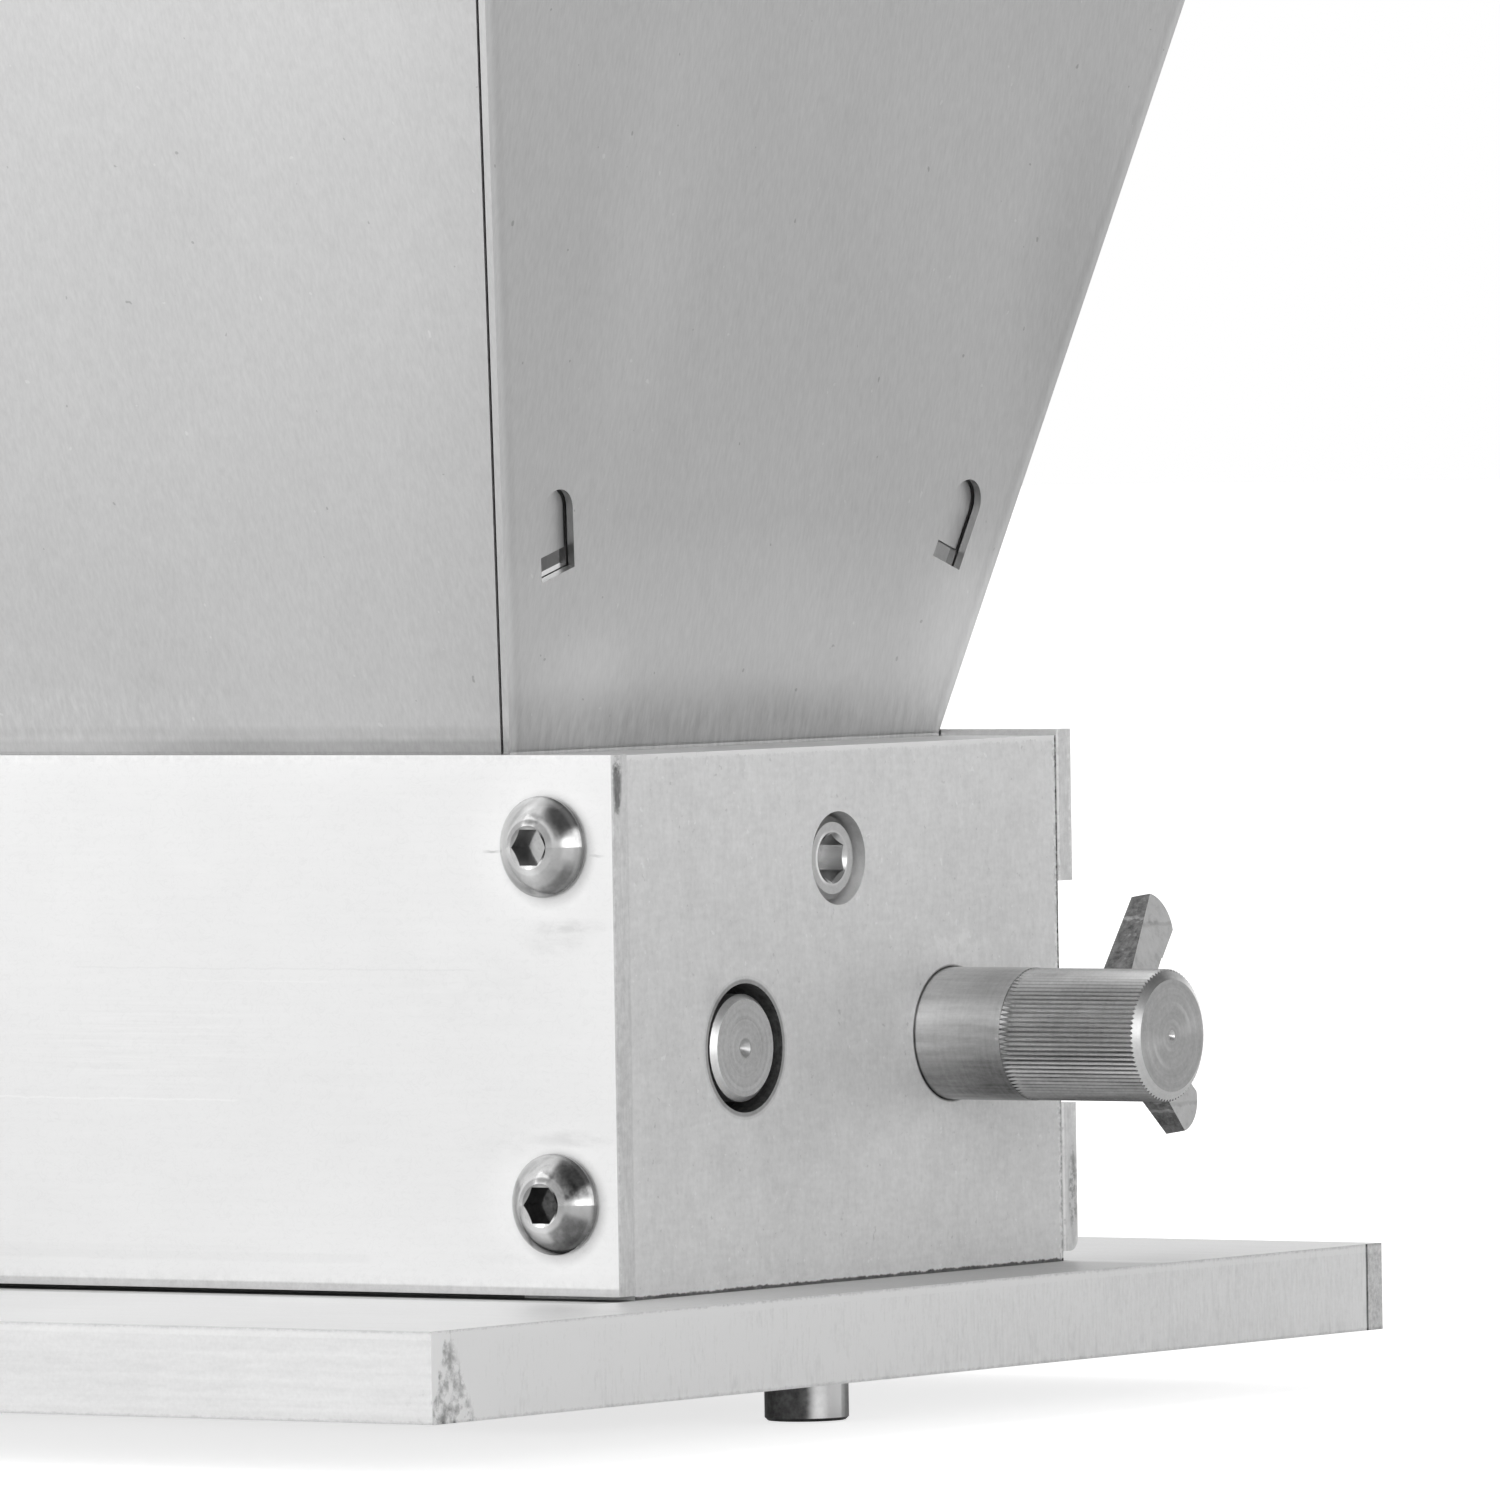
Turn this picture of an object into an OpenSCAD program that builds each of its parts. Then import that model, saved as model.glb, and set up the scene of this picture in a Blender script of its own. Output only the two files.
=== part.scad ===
// Two-roller hand mill for malted grain, with a sheet-metal hopper.
// Origin: centre of the discharge slot, in the plane of the base plate's underside.
// +X runs along the rollers to the end without the crank, -Y is the front, +Z is up.

/* [Base plate] */
// Thickness of the base plate
base_t = 10; // [8:0.5:14]
// Ledge of the base plate in front of the body
front_ledge = 54; // [45:1:60]
// Ledge of the base plate behind the body
rear_ledge = 42; // [36:1:60]
// Ledge of the base plate past each end of the body
end_ledge = 14; // [8:0.5:24]
// Inset of the discharge slot's ends from the rollers' ends
slot_end_inset = 4.5; // [3:0.5:20]
// Width of the discharge slot
slot_w = 56; // [40:1:60]

/* [Body] */
// Gap between the rollers at their widest and the front and rear plates
roller_side_gap = 2.75; // [2.2:0.05:5]
// Height of the end blocks
block_h = 60; // [58:0.5:66]
// Thickness of an end block
block_t = 15; // [14:0.5:18]
// Thickness of the front and rear plates
plate_t = 3; // [2:0.1:3.4]
// Height of the front and rear plates
plate_h = 59.6; // [57:0.1:60]
// Gap between the front plate and the base
front_plate_gap = 0.5; // [0.3:0.1:1]
// Gap between the rear plate and the base
rear_plate_gap = 1.1; // [0.3:0.1:1.3]
// Bottom of the rear plate's end notches above the base
notch_low = 18; // [16:0.5:19]
// Top of the rear plate's end notches above the base
notch_high = 43.4; // [36:0.2:44]
// Rounding of the rear plate's lower corners
plate_corner_r = 1.5; // [0.5:0.1:3]

/* [Rollers] */
// Length of both rollers
roller_l = 125; // [110:1:140]
// Diameter of both rollers
roller_d = 38; // [36:0.5:38]
// Chamfer on the roller ends
roller_chamfer = 1; // [0.5:0.1:2]
// Height of both shaft axes above the base
axis_h = 26.9; // [26:0.1:28]
// Gap between the rollers at the eccentrics' closest setting
smallest_gap = 0.5; // [0.3:0.05:1.5]
// Diameter of the drive shaft
drive_shaft_d = 12; // [10:0.5:12]
// Diameter of the idler shaft inside its roller
idler_shaft_d = 12; // [10:0.5:14]
// Diameter of the idler shaft's stub ends
stub_d = 8; // [7:0.5:8]
// Length of each stub end inside its adjuster knob
stub_l = 12; // [8:0.5:14]

/* [Bushings and washers] */
// Bore for a drive bushing in the end block
bushing_bore_d = 14.4; // [14.2:0.1:16]
// Depth of the bushing's outer end below the block's end face
bushing_recess = 4; // [2:0.5:6]
// Diameter of the bushing's thrust flange
bushing_flange_d = 18; // [17:0.5:20]
// Thickness of the thrust flanges and thrust washers
thrust_t = 0.9; // [0.6:0.05:1.5]
// Free play at each end of a roller
end_play = 0.1; // [0.05:0.05:0.3]
// Outside diameter of the thrust washers
thrust_washer_d = 14; // [12:0.5:16]

/* [Adjuster knobs] */
// Diameter of the adjuster knobs
knob_d = 15; // [14.5:0.1:16]
// Length of the knob outside the block
knob_l = 29.9; // [20:0.1:32]
// Length of the plain neck next to the block
knob_neck_l = 11.5; // [4:0.5:14]
// Length over which the grooves deepen from the neck
knurl_run = 1.2; // [0.4:0.1:3]
// Chamfer on the knob's free end
knob_chamfer = 1.2; // [0.5:0.1:2]
// Length of that chamfer along the knob
knob_chamfer_l = 0.7; // [0.5:0.1:2]
// Number of teeth in the straight knurl
knurl_teeth = 82; // [40:1:90]
// Depth of the knurl
knurl_depth = 0.3; // [0.1:0.05:0.5]
// Step from the plain neck down to the tips of the teeth
knurl_set = 0.05; // [0.02:0.01:0.2]
// Offset of the idler shaft from the knob's own axis
eccentricity = 2; // [1.5:0.1:2.2]
// Turn of the idler shaft about the knob's axis, from the rear upwards
rest_turn = 139.5; // [100:0.5:175]
// Chamfer at the mouths of the knob bores
bore_chamfer = 0.1; // [0.1:0.05:0.6]

/* [Wing screws] */
// Gap between the backed-off screws and the adjuster knobs
wing_screw_gap = 0.3; // [0.2:0.05:1]
// Distance of the hub behind the body
hub_stand = 17; // [12:0.5:24]
// Length of the hub
hub_l = 9; // [8:0.5:13]
// Diameter of the hub
hub_d = 10; // [9:0.5:12]
// Reach of the wings from the screw's axis
wing_reach = 14; // [13:0.1:17]
// Distance from the hub's front face back to the wings' roots
wing_set = 3.9; // [1:0.1:5]
// Lean of the wings' front edges away from the mill
wing_lean = 40; // [20:1:45]
// Distance of the rounded tips' middles behind the hub
wing_sweep = 1.5; // [0:0.1:3]
// Radius of the wings' rounded tips
wing_lobe_r = 3.9; // [3:0.1:4.2]
// Thickness of the wings at the screw's axis
wing_root_t = 5.3; // [4:0.1:7]
// Thickness of the wings at their tips
wing_tip_t = 2.6; // [2:0.1:3.4]
// Turn of the wings from upright
wing_turn = 9; // [-45:0.5:45]

/* [Screws] */
// Diameter of the quarter-inch screw shanks
screw_d = 6.25; // [5:0.05:6.25]
// Diameter of the button heads
button_d = 11.2; // [10:0.1:12]
// Height of the button heads
button_h = 3.4; // [3:0.1:4.5]
// Hexagon socket of the button heads, across flats
button_hex = 3.97; // [3:0.01:5]
// Diameter of the cap heads
cap_d = 9.5; // [9:0.1:10.3]
// Height of the cap heads
cap_h = 6.35; // [5.5:0.05:6.6]
// Hexagon socket of the cap heads, across flats
cap_hex = 4.76; // [4:0.01:5.5]
// Inset of the upper plate screws from the end faces
upper_inset = 9.3; // [8:0.1:10]
// Inset of the lower plate screws from the end faces
lower_inset = 8.4; // [8:0.1:10]
// Height of the upper plate screws above the base
upper_screw_h = 50; // [49.5:0.1:51]
// Height of the lower plate screws above the base
lower_screw_h = 10.6; // [10:0.1:12]
// Length of a plate screw inside its end block
plate_screw_grip = 9; // [6:0.5:12]

/* [Tie rod and base screws] */
// Diameter of the tie rod between the end blocks
tie_rod_d = 10; // [8:0.5:10]
// Height of the tie rod above the base
tie_rod_h = 47.4; // [46.5:0.1:48]
// Distance of the tie rod in front of the body's centre plane
tie_rod_y = 1.6; // [-3:0.1:3]
// Counterbore for a cap head in the end block
counterbore_d = 10.5; // [10.4:0.1:12]
// Depth of the tie rod screw heads below the end face
head_recess = 0.85; // [0:0.05:2]
// Distance of the base screws behind the body's centre plane
base_screw_y = 1.2; // [-4:0.1:4]
// Depth of the base screw heads in the base's underside
spot_depth = 0.5; // [0.4:0.05:2.5]
// Length of a base screw inside its end block
base_screw_grip = 12; // [8:0.5:14]

/* [Hopper] */
// Gap between the hopper's skirt and the end blocks
skirt_end_gap = 1; // [0.3:0.1:2.5]
// Gap between the hopper's skirt and the plates
skirt_side_gap = 0.25; // [0.2:0.05:1]
// Height of the hopper's sloping walls
hopper_h = 200; // [150:1:230]
// Outward run of the right and left panels for each unit of height
side_slope = 0.211; // [0.1:0.005:0.4]
// Outward run of the front and rear panels for each unit of height
front_slope = 0.319; // [0.1:0.005:0.4]
// Sheet thickness
sheet_t = 0.9; // [0.6:0.05:1.2]
// Gap between a side panel and the flange behind it
sheet_gap = 0.3; // [0.2:0.05:0.6]
// Gap between the skirt's bend and the top of the blocks
hopper_lift = 0.3; // [0.2:0.05:1]
// Width of the flanges folded behind the side panels
flange_w = 18; // [16:0.5:24]
// Height of the hem folded at the rim
hem_h = 8; // [5:0.5:15]

/* [Hopper hooks] */
// Width of a hook's window
hook_w = 6; // [5:0.1:7]
// Height of a hook's window
hook_h = 10; // [8:0.1:12]
// Distance of a hook from its panel's sloping edge
hook_inset = 9.7; // [9:0.1:11]
// Height of the lower hooks above the hopper's bend
hook_low = 24.2; // [15:0.1:40]
// Height of the upper hooks above the hopper's bend
hook_high = 172; // [120:1:200]
// Gap round the head and sides of the tab in a window
hook_gap = 0.25; // [0.2:0.05:0.8]
// Gap between the foot of the tab and the foot of its window
hook_foot = 2.2; // [1:0.1:3]

/* [Crank] */
// Length of the crank from the drive shaft to the grip
crank_l = 110; // [90:1:150]
// Droop of the crank below level at rest in degrees
crank_droop = 14.5; // [0:0.5:90]
// Gap between the adjuster knob and the crank's hub
crank_gap = 1.6; // [1:0.1:10]
// Diameter of the drive shaft inside the crank's hub
driven_d = 10; // [9.8:0.1:11.8]
// Diameter of the drive shaft's free end
stub_end_d = 9.5; // [8:0.1:9.6]
// Length of the free end past the crank's hub
driven_free_l = 16; // [10:0.5:30]
// Chamfer on the free end
driven_chamfer = 1; // [0.5:0.1:2]
// Diameter of the crank's hub
crank_hub_d = 24; // [20:0.5:30]
// Length of the crank's hub
crank_hub_l = 14; // [10:0.5:20]
// Thickness of the crank's arm
crank_arm_t = 6; // [4:0.5:8]
// Width of the crank's arm
crank_arm_w = 18; // [14:0.5:22]
// Diameter of the crank's set screw
set_screw_d = 6; // [5:0.1:6]
// Length of the grip
grip_l = 84; // [70:1:110]
// Largest diameter of the grip
grip_d = 28; // [22:0.5:32]
// Diameter of the grip's bolt
grip_bolt_d = 8; // [6:0.5:9]

/* [Hidden] */
$fn = 96;

// Running clearance on the radius of a shaft or screw in its hole
running = 0.05;
// Clearance on the radius of a pressed part
pressed = 0.02;
// Overshoot of a cutting solid past the face it cuts
over = 1;

inner_l = roller_l + 2 * (thrust_t + end_play);
body_l = inner_l + 2 * block_t;
end_x = body_l / 2;
inner_x = inner_l / 2;
axis_z = base_t + axis_h;
axis_spacing = roller_d + eccentricity + smallest_gap;
block_d = axis_spacing + roller_d + 2 * roller_side_gap;
body_d = block_d + 2 * plate_t;
block_top = base_t + block_h;
base_l = body_l + 2 * end_ledge;
base_d = front_ledge + body_d + rear_ledge;
base_front = -body_d / 2 - front_ledge;
slot_l = roller_l - 2 * slot_end_inset;
wing_screw_inset = block_t / 2;
tie_rod_z = base_t + tie_rod_h;
drive_y = -axis_spacing / 2;
knob_y = axis_spacing / 2;
idler_y = knob_y + eccentricity * cos(rest_turn);
idler_z = axis_z + eccentricity * sin(rest_turn);
tap_d = screw_d + 2 * running;
clear_d = screw_d + 0.6;
hub_face_x = end_x + knob_l + crank_gap;
driven_end_x = hub_face_x + crank_hub_l + driven_free_l;
hopper_z = block_top + hopper_lift;
// The hopper's skirt reaches down to the top of the tie rod, which carries it.
skirt_h = hopper_z - tie_rod_z - tie_rod_d / 2;
throat_x = inner_x - skirt_end_gap;
throat_y = block_d / 2 - skirt_side_gap;
side_angle = atan(side_slope);
front_angle = atan(front_slope);
sheet_lap = sheet_t / 2;
plate_screw_spots = [[upper_inset, base_t + upper_screw_h],
    [lower_inset, base_t + lower_screw_h]];

aluminium = [0.80, 0.81, 0.82];
steel = [0.62, 0.63, 0.65];
dark_steel = [0.38, 0.39, 0.40];
sheet_steel = [0.70, 0.70, 0.72];
bronze = [0.35, 0.31, 0.26];
black_plastic = [0.08, 0.08, 0.09];

// Places its children at both ends of the mill, the second copy mirrored.
module both_ends() {
    children();
    mirror([1, 0, 0]) children();
}

// A cylinder along +X from x, at height z and depth y.
module rod_x(x, y, z, d, l) {
    translate([x, y, z]) rotate([0, 90, 0]) cylinder(d = d, h = l);
}

// A cylinder along +Y from y, at x and height z.
module rod_y(x, y, z, d, l) {
    translate([x, y, z]) rotate([-90, 0, 0]) cylinder(d = d, h = l);
}

// A hexagonal prism along +Z, given across flats.
module hex(flats, h) {
    cylinder(d = flats / cos(30), h = h, $fn = 6);
}

// A socket cap screw: its head sits on Z = 0 and its shank runs down.
module cap_screw(shank_l, bevel = 0.7) {
    difference() {
        union() {
            cylinder(d = cap_d, h = cap_h - bevel);
            translate([0, 0, cap_h - bevel])
                cylinder(d1 = cap_d, d2 = cap_d - 2 * bevel, h = bevel);
        }
        translate([0, 0, cap_h / 2]) hex(cap_hex, cap_h);
        translate([0, 0, cap_h - bevel / 2])
            cylinder(d1 = cap_hex, d2 = cap_hex + 3 * bevel, h = bevel);
    }
    translate([0, 0, -shank_l]) cylinder(d = screw_d, h = shank_l + over / 2);
}

// A button head screw: its domed head sits on Z = 0 and its shank runs down.
module button_screw(shank_l) {
    rim_h = 0.5;
    rise = button_h - rim_h;
    dome_r = (pow(button_d / 2, 2) + pow(rise, 2)) / (2 * rise);
    top_r = button_d * 0.27;
    difference() {
        intersection() {
            translate([0, 0, button_h - dome_r]) sphere(r = dome_r);
            cylinder(d = button_d, h = button_h - 0.25);
        }
        translate([0, 0, button_h / 3]) hex(button_hex, button_h);
        translate([0, 0, button_h - 0.7])
            cylinder(r1 = button_hex / 2, r2 = top_r, h = 0.6);
    }
    translate([0, 0, -shank_l]) cylinder(d = screw_d, h = shank_l + over / 4);
}

module base_plate() {
    color(aluminium) difference() {
        translate([-base_l / 2, base_front, 0]) cube([base_l, base_d, base_t]);
        translate([-slot_l / 2, -slot_w / 2, -over]) cube([slot_l, slot_w, base_t + 2 * over]);
        both_ends() translate([end_x - block_t / 2, base_screw_y, 0]) {
            translate([0, 0, -over]) cylinder(d = clear_d, h = base_t + 2 * over);
            translate([0, 0, -over]) cylinder(d = counterbore_d, h = spot_depth + over);
        }
    }
}

module end_block() {
    mid_x = end_x - block_t / 2;
    color(aluminium) difference() {
        translate([inner_x, -block_d / 2, base_t]) cube([block_t, block_d, block_h]);
        rod_x(inner_x - over, drive_y, axis_z, bushing_bore_d, block_t + 2 * over);
        rod_x(inner_x - over, knob_y, axis_z, knob_d + 2 * running, block_t + 2 * over);
        translate([end_x - bore_chamfer, knob_y, axis_z]) rotate([0, 90, 0])
            cylinder(d1 = knob_d + 2 * running, d2 = knob_d + 2 * (running + 2 * bore_chamfer),
                h = 2 * bore_chamfer);
        rod_x(inner_x - over, -tie_rod_y, tie_rod_z, clear_d, block_t + 2 * over);
        rod_x(end_x - head_recess - cap_h, -tie_rod_y, tie_rod_z, counterbore_d,
            cap_h + head_recess + over);
        translate([mid_x, base_screw_y, base_t - over])
            cylinder(d = tap_d, h = base_screw_grip + 2 * over);
        rod_y(end_x - wing_screw_inset, knob_y, axis_z, tap_d, block_d / 2);
        for (spot = plate_screw_spots) {
            rod_y(end_x - spot[0], -block_d / 2 - over, spot[1], tap_d,
                plate_screw_grip + 2 * over);
            rod_y(end_x - spot[0], block_d / 2 - plate_screw_grip - over, spot[1], tap_d,
                plate_screw_grip + 2 * over);
        }
    }
}

module end_block_right() { end_block(); }
module end_block_left() { mirror([1, 0, 0]) end_block(); }

// The clearance holes for the plate screws, at both ends.
module plate_screw_holes(y) {
    both_ends() for (spot = plate_screw_spots)
        rod_y(end_x - spot[0], y - over, spot[1], clear_d, plate_t + 2 * over);
}

module front_plate() {
    y = -body_d / 2;
    color(aluminium) difference() {
        translate([-end_x, y, base_t + front_plate_gap]) cube([body_l, plate_t, plate_h]);
        plate_screw_holes(y);
    }
}

module rear_plate() {
    y = body_d / 2 - plate_t;
    z = base_t + rear_plate_gap;
    r = plate_corner_r;
    color(aluminium) difference() {
        union() {
            translate([-end_x, y, z + r]) cube([body_l, plate_t, plate_h - r]);
            translate([-end_x, y, z]) cube([body_l, plate_t - r, r + over]);
            translate([-end_x, y + plate_t - r, z + r]) rotate([0, 90, 0])
                cylinder(r = r, h = body_l);
        }
        plate_screw_holes(y);
        both_ends() translate([inner_x, y - over, base_t + notch_low])
            cube([block_t + over, plate_t + 2 * over, notch_high - notch_low]);
    }
}

module front_plate_screws() {
    color(steel) both_ends() for (spot = plate_screw_spots)
        translate([end_x - spot[0], -body_d / 2, spot[1]]) rotate([90, 0, 0])
            button_screw(plate_t + plate_screw_grip);
}

module rear_plate_screws() {
    color(steel) both_ends() for (spot = plate_screw_spots)
        translate([end_x - spot[0], body_d / 2, spot[1]]) rotate([-90, 0, 0])
            button_screw(plate_t + plate_screw_grip);
}

module tie_rod() {
    tap_depth = 16;
    color(steel) difference() {
        rod_x(-inner_x, -tie_rod_y, tie_rod_z, tie_rod_d, inner_l);
        both_ends() rod_x(inner_x - tap_depth, -tie_rod_y, tie_rod_z, tap_d, tap_depth + over);
    }
}

module tie_rod_screws() {
    grip = 12;
    seat_x = end_x - head_recess - cap_h;
    color(steel) both_ends() translate([seat_x, -tie_rod_y, tie_rod_z]) rotate([0, 90, 0])
        cap_screw(seat_x - inner_x + grip);
}

module base_screws() {
    color(steel) both_ends() translate([end_x - block_t / 2, base_screw_y, spot_depth])
        rotate([180, 0, 0]) cap_screw(base_t - spot_depth + base_screw_grip, 0.35);
}

module drive_bushing() {
    tube_l = block_t - bushing_recess;
    color(bronze) difference() {
        union() {
            rod_x(inner_x - thrust_t, drive_y, axis_z, bushing_flange_d, thrust_t);
            rod_x(inner_x - thrust_t, drive_y, axis_z, bushing_bore_d - 2 * pressed,
                thrust_t + tube_l);
        }
        rod_x(inner_x - thrust_t - over, drive_y, axis_z, drive_shaft_d + 2 * running,
            thrust_t + tube_l + 2 * over);
    }
}

module drive_bushing_right() { drive_bushing(); }
module drive_bushing_left() { mirror([1, 0, 0]) drive_bushing(); }

// Lays a flat drawing on the right panel's plane: its X runs to the rear, its Y runs
// up the slope and its Z stands out of the panel.
module on_side_panel() {
    translate([throat_x, 0, hopper_z]) rotate([0, side_angle, 0]) rotate([90, 0, 90])
        children();
}

// Lays a flat drawing on the rear panel's plane in the same way.
module on_rear_panel() {
    translate([0, throat_y, hopper_z]) rotate([-front_angle, 0, 0]) rotate([90, 0, 180])
        children();
}

side_run = hopper_h / cos(side_angle);
rear_run = hopper_h / cos(front_angle);
// Widening of the panels, for each unit up their own slopes
side_widen = front_slope * cos(side_angle);
rear_widen = side_slope * cos(front_angle);
edge_tilt = atan(side_widen);

// A panel's outline: half its width at the bend, its rise and how fast it widens.
module panel_outline(half, run, widen) {
    low = half - widen * sheet_lap;
    high = half + widen * run;
    polygon([[-low, -sheet_lap], [low, -sheet_lap], [high, run], [-high, run]]);
}

// Places children on a hook's middle, upright along the panel's rear edge.
module at_hook(height) {
    v = height / cos(side_angle);
    translate([throat_y + side_widen * v - hook_inset / cos(edge_tilt), v, 0])
        rotate([0, 0, -edge_tilt]) children();
}

// A hook's outline: square at the foot, round at the head.
module hook_outline(w, foot) {
    translate([-w / 2, foot]) square([w, hook_h / 2 - w / 2 - foot]);
    translate([0, hook_h / 2 - w / 2]) circle(d = w);
}

// The windows of the hooks, cut through a sheet from z down by depth.
module hook_windows(z, depth) {
    for (height = [hook_low, hook_high]) at_hook(height)
        translate([0, 0, z - depth]) linear_extrude(depth)
            hook_outline(hook_w, -hook_h / 2);
}

// A tab that stands in a window, in the flange's plane, and its strap behind the flange.
module hook_tab(face) {
    w = hook_w - 2 * hook_gap;
    foot = hook_foot - hook_h / 2;
    strap_w = hook_w / 2;
    translate([0, -hook_gap, face - sheet_t]) linear_extrude(sheet_t)
        hook_outline(w, foot + hook_gap);
    translate([-strap_w / 2, 0, face - 1.8 * sheet_t])
        cube([strap_w, hook_h / 2 + 1.5, 0.9 * sheet_t]);
}

module hopper_side_panel() {
    hem_end = flange_w + 6;
    color(sheet_steel) {
        difference() {
            union() {
                on_side_panel() translate([0, 0, -sheet_t]) linear_extrude(sheet_t)
                    panel_outline(throat_y, side_run, side_widen);
                translate([throat_x - sheet_t, -throat_y, hopper_z - skirt_h])
                    cube([sheet_t, 2 * throat_y, skirt_h]);
                on_side_panel() translate([0, 0, -2 * sheet_t]) linear_extrude(1.5 * sheet_t)
                    translate([0, side_run - hem_h]) square_strip(
                        throat_y + side_widen * (side_run - hem_h) - hem_end, hem_h);
            }
            on_side_panel() {
                hook_windows(over, 2 * over + sheet_t);
                mirror([1, 0, 0]) hook_windows(over, 2 * over + sheet_t);
            }
        }
    }
}

// A strip centred on X, as wide as twice half and as tall as h.
module square_strip(half, h) {
    translate([-half, 0]) square([2 * half, h]);
}

module hopper_right_panel() { hopper_side_panel(); }
module hopper_left_panel() { mirror([1, 0, 0]) hopper_side_panel(); }

// The flange that the rear panel folds behind the right panel.
module side_flange() {
    edge = flange_w / cos(edge_tilt);
    top = side_widen * side_run;
    start = 0.1;
    face = -sheet_t - sheet_gap;
    on_side_panel() {
        difference() {
            translate([0, 0, face - sheet_t]) linear_extrude(sheet_t) polygon([
                [throat_y - edge, 0], [throat_y - start, 0],
                [throat_y - start + top, side_run], [throat_y - edge + top, side_run]]);
            hook_windows(face + over, sheet_t + 2 * over);
        }
        for (height = [hook_low, hook_high]) at_hook(height) hook_tab(face);
    }
}

module hopper_wide_panel() {
    corner = (sheet_t + sheet_gap) / cos(side_angle);
    half = throat_x - corner;
    hem_half = half + rear_widen * (rear_run - hem_h) - 2 * sheet_t;
    color(sheet_steel) {
        on_rear_panel() translate([0, 0, -sheet_t]) linear_extrude(sheet_t)
            panel_outline(half, rear_run, rear_widen);
        on_rear_panel() translate([0, rear_run - hem_h, -2 * sheet_t])
            linear_extrude(1.5 * sheet_t) square_strip(hem_half, hem_h);
        translate([-half, throat_y - sheet_t, hopper_z - skirt_h])
            cube([2 * half, sheet_t, skirt_h]);
        both_ends() side_flange();
    }
}

module hopper_rear_panel() { hopper_wide_panel(); }
module hopper_front_panel() { mirror([0, 1, 0]) hopper_wide_panel(); }

module drive_shaft() {
    bevel = 0.6;
    step_x = end_x + 3;
    stub_x = hub_face_x + crank_hub_l + 0.5;
    dimple_d = 2;
    color(steel) difference() {
        union() {
            rod_x(-step_x, drive_y, axis_z, drive_shaft_d, step_x + end_x - bevel);
            translate([end_x - bevel, drive_y, axis_z]) rotate([0, 90, 0])
                cylinder(d1 = drive_shaft_d, d2 = drive_shaft_d - 2 * bevel, h = bevel);
            rod_x(-stub_x, drive_y, axis_z, driven_d, stub_x - step_x + over);
            rod_x(-driven_end_x + driven_chamfer, drive_y, axis_z, stub_end_d,
                driven_end_x - driven_chamfer - stub_x + over);
            translate([-driven_end_x, drive_y, axis_z]) rotate([0, 90, 0])
                cylinder(d1 = stub_end_d - 2 * driven_chamfer, d2 = stub_end_d,
                    h = driven_chamfer);
        }
        translate([end_x - dimple_d / 2, drive_y, axis_z]) rotate([0, 90, 0])
            cylinder(d1 = 0, d2 = dimple_d, h = dimple_d / 2);
    }
}

// A roller on the X axis with a bore, chamfered at both ends.
module roller(y, z, bore_d) {
    flat_l = roller_l - 2 * roller_chamfer;
    color(dark_steel) difference() {
        union() {
            rod_x(-flat_l / 2, y, z, roller_d, flat_l);
            both_ends() translate([flat_l / 2, y, z]) rotate([0, 90, 0])
                cylinder(d1 = roller_d, d2 = roller_d - 2 * roller_chamfer, h = roller_chamfer);
        }
        rod_x(-roller_l / 2 - over, y, z, bore_d, roller_l + 2 * over);
    }
}

module drive_roller() { roller(drive_y, axis_z, drive_shaft_d + 2 * pressed); }
module idler_roller() { roller(idler_y, idler_z, idler_shaft_d + 2 * pressed); }

module idler_shaft() {
    color(steel) {
        rod_x(-roller_l / 2, idler_y, idler_z, idler_shaft_d, roller_l);
        rod_x(-inner_x - stub_l, idler_y, idler_z, stub_d, inner_l + 2 * stub_l);
    }
}

module thrust_washers() {
    color(bronze) both_ends() difference() {
        rod_x(roller_l / 2 + end_play / 2, idler_y, idler_z, thrust_washer_d, thrust_t);
        rod_x(roller_l / 2 - over, idler_y, idler_z, stub_d + 2 * running,
            thrust_t + 2 * over);
    }
}

// The knurl's cross-section: straight teeth round the knob.
module knurl_section() {
    polygon([for (i = [0 : 2 * knurl_teeth - 1])
        let (r = knob_d / 2 - knurl_set - (i % 2) * knurl_depth, turn = i * 180 / knurl_teeth)
        [r * cos(turn), r * sin(turn)]]);
}

module adjuster_knob() {
    knurl_l = knob_l - knob_neck_l;
    tip_d = knob_d - 2 * knob_chamfer;
    color(steel) difference() {
        union() {
            rod_x(inner_x, knob_y, axis_z, knob_d, block_t + knob_neck_l);
            translate([end_x + knob_neck_l - over, knob_y, axis_z]) rotate([0, 90, 0])
                intersection() {
                    linear_extrude(knurl_l + over) knurl_section();
                    union() {
                        cylinder(d = knob_d + 1, h = knurl_l + over - knob_chamfer_l);
                        translate([0, 0, knurl_l + over - knob_chamfer_l])
                            cylinder(d1 = knob_d, d2 = tip_d, h = knob_chamfer_l);
                    }
                }
            // The grooves rise out of the neck over the run-out's length.
            translate([end_x + knob_neck_l - 0.2, knob_y, axis_z]) rotate([0, 90, 0])
                cylinder(d1 = knob_d - 4 * knurl_set, h = knurl_run + 0.2,
                    d2 = knob_d - 2 * (knurl_set + knurl_depth) - 0.1);
        }
        rod_x(inner_x - over, idler_y, idler_z, stub_d + 2 * running, stub_l + over + 0.5);
        translate([end_x + knob_l - 0.6, knob_y, axis_z]) rotate([0, 90, 0])
            cylinder(d1 = 0, d2 = 1.4, h = 0.7);
    }
}

module adjuster_knob_right() { adjuster_knob(); }
module adjuster_knob_left() { mirror([1, 0, 0]) adjuster_knob(); }

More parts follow.
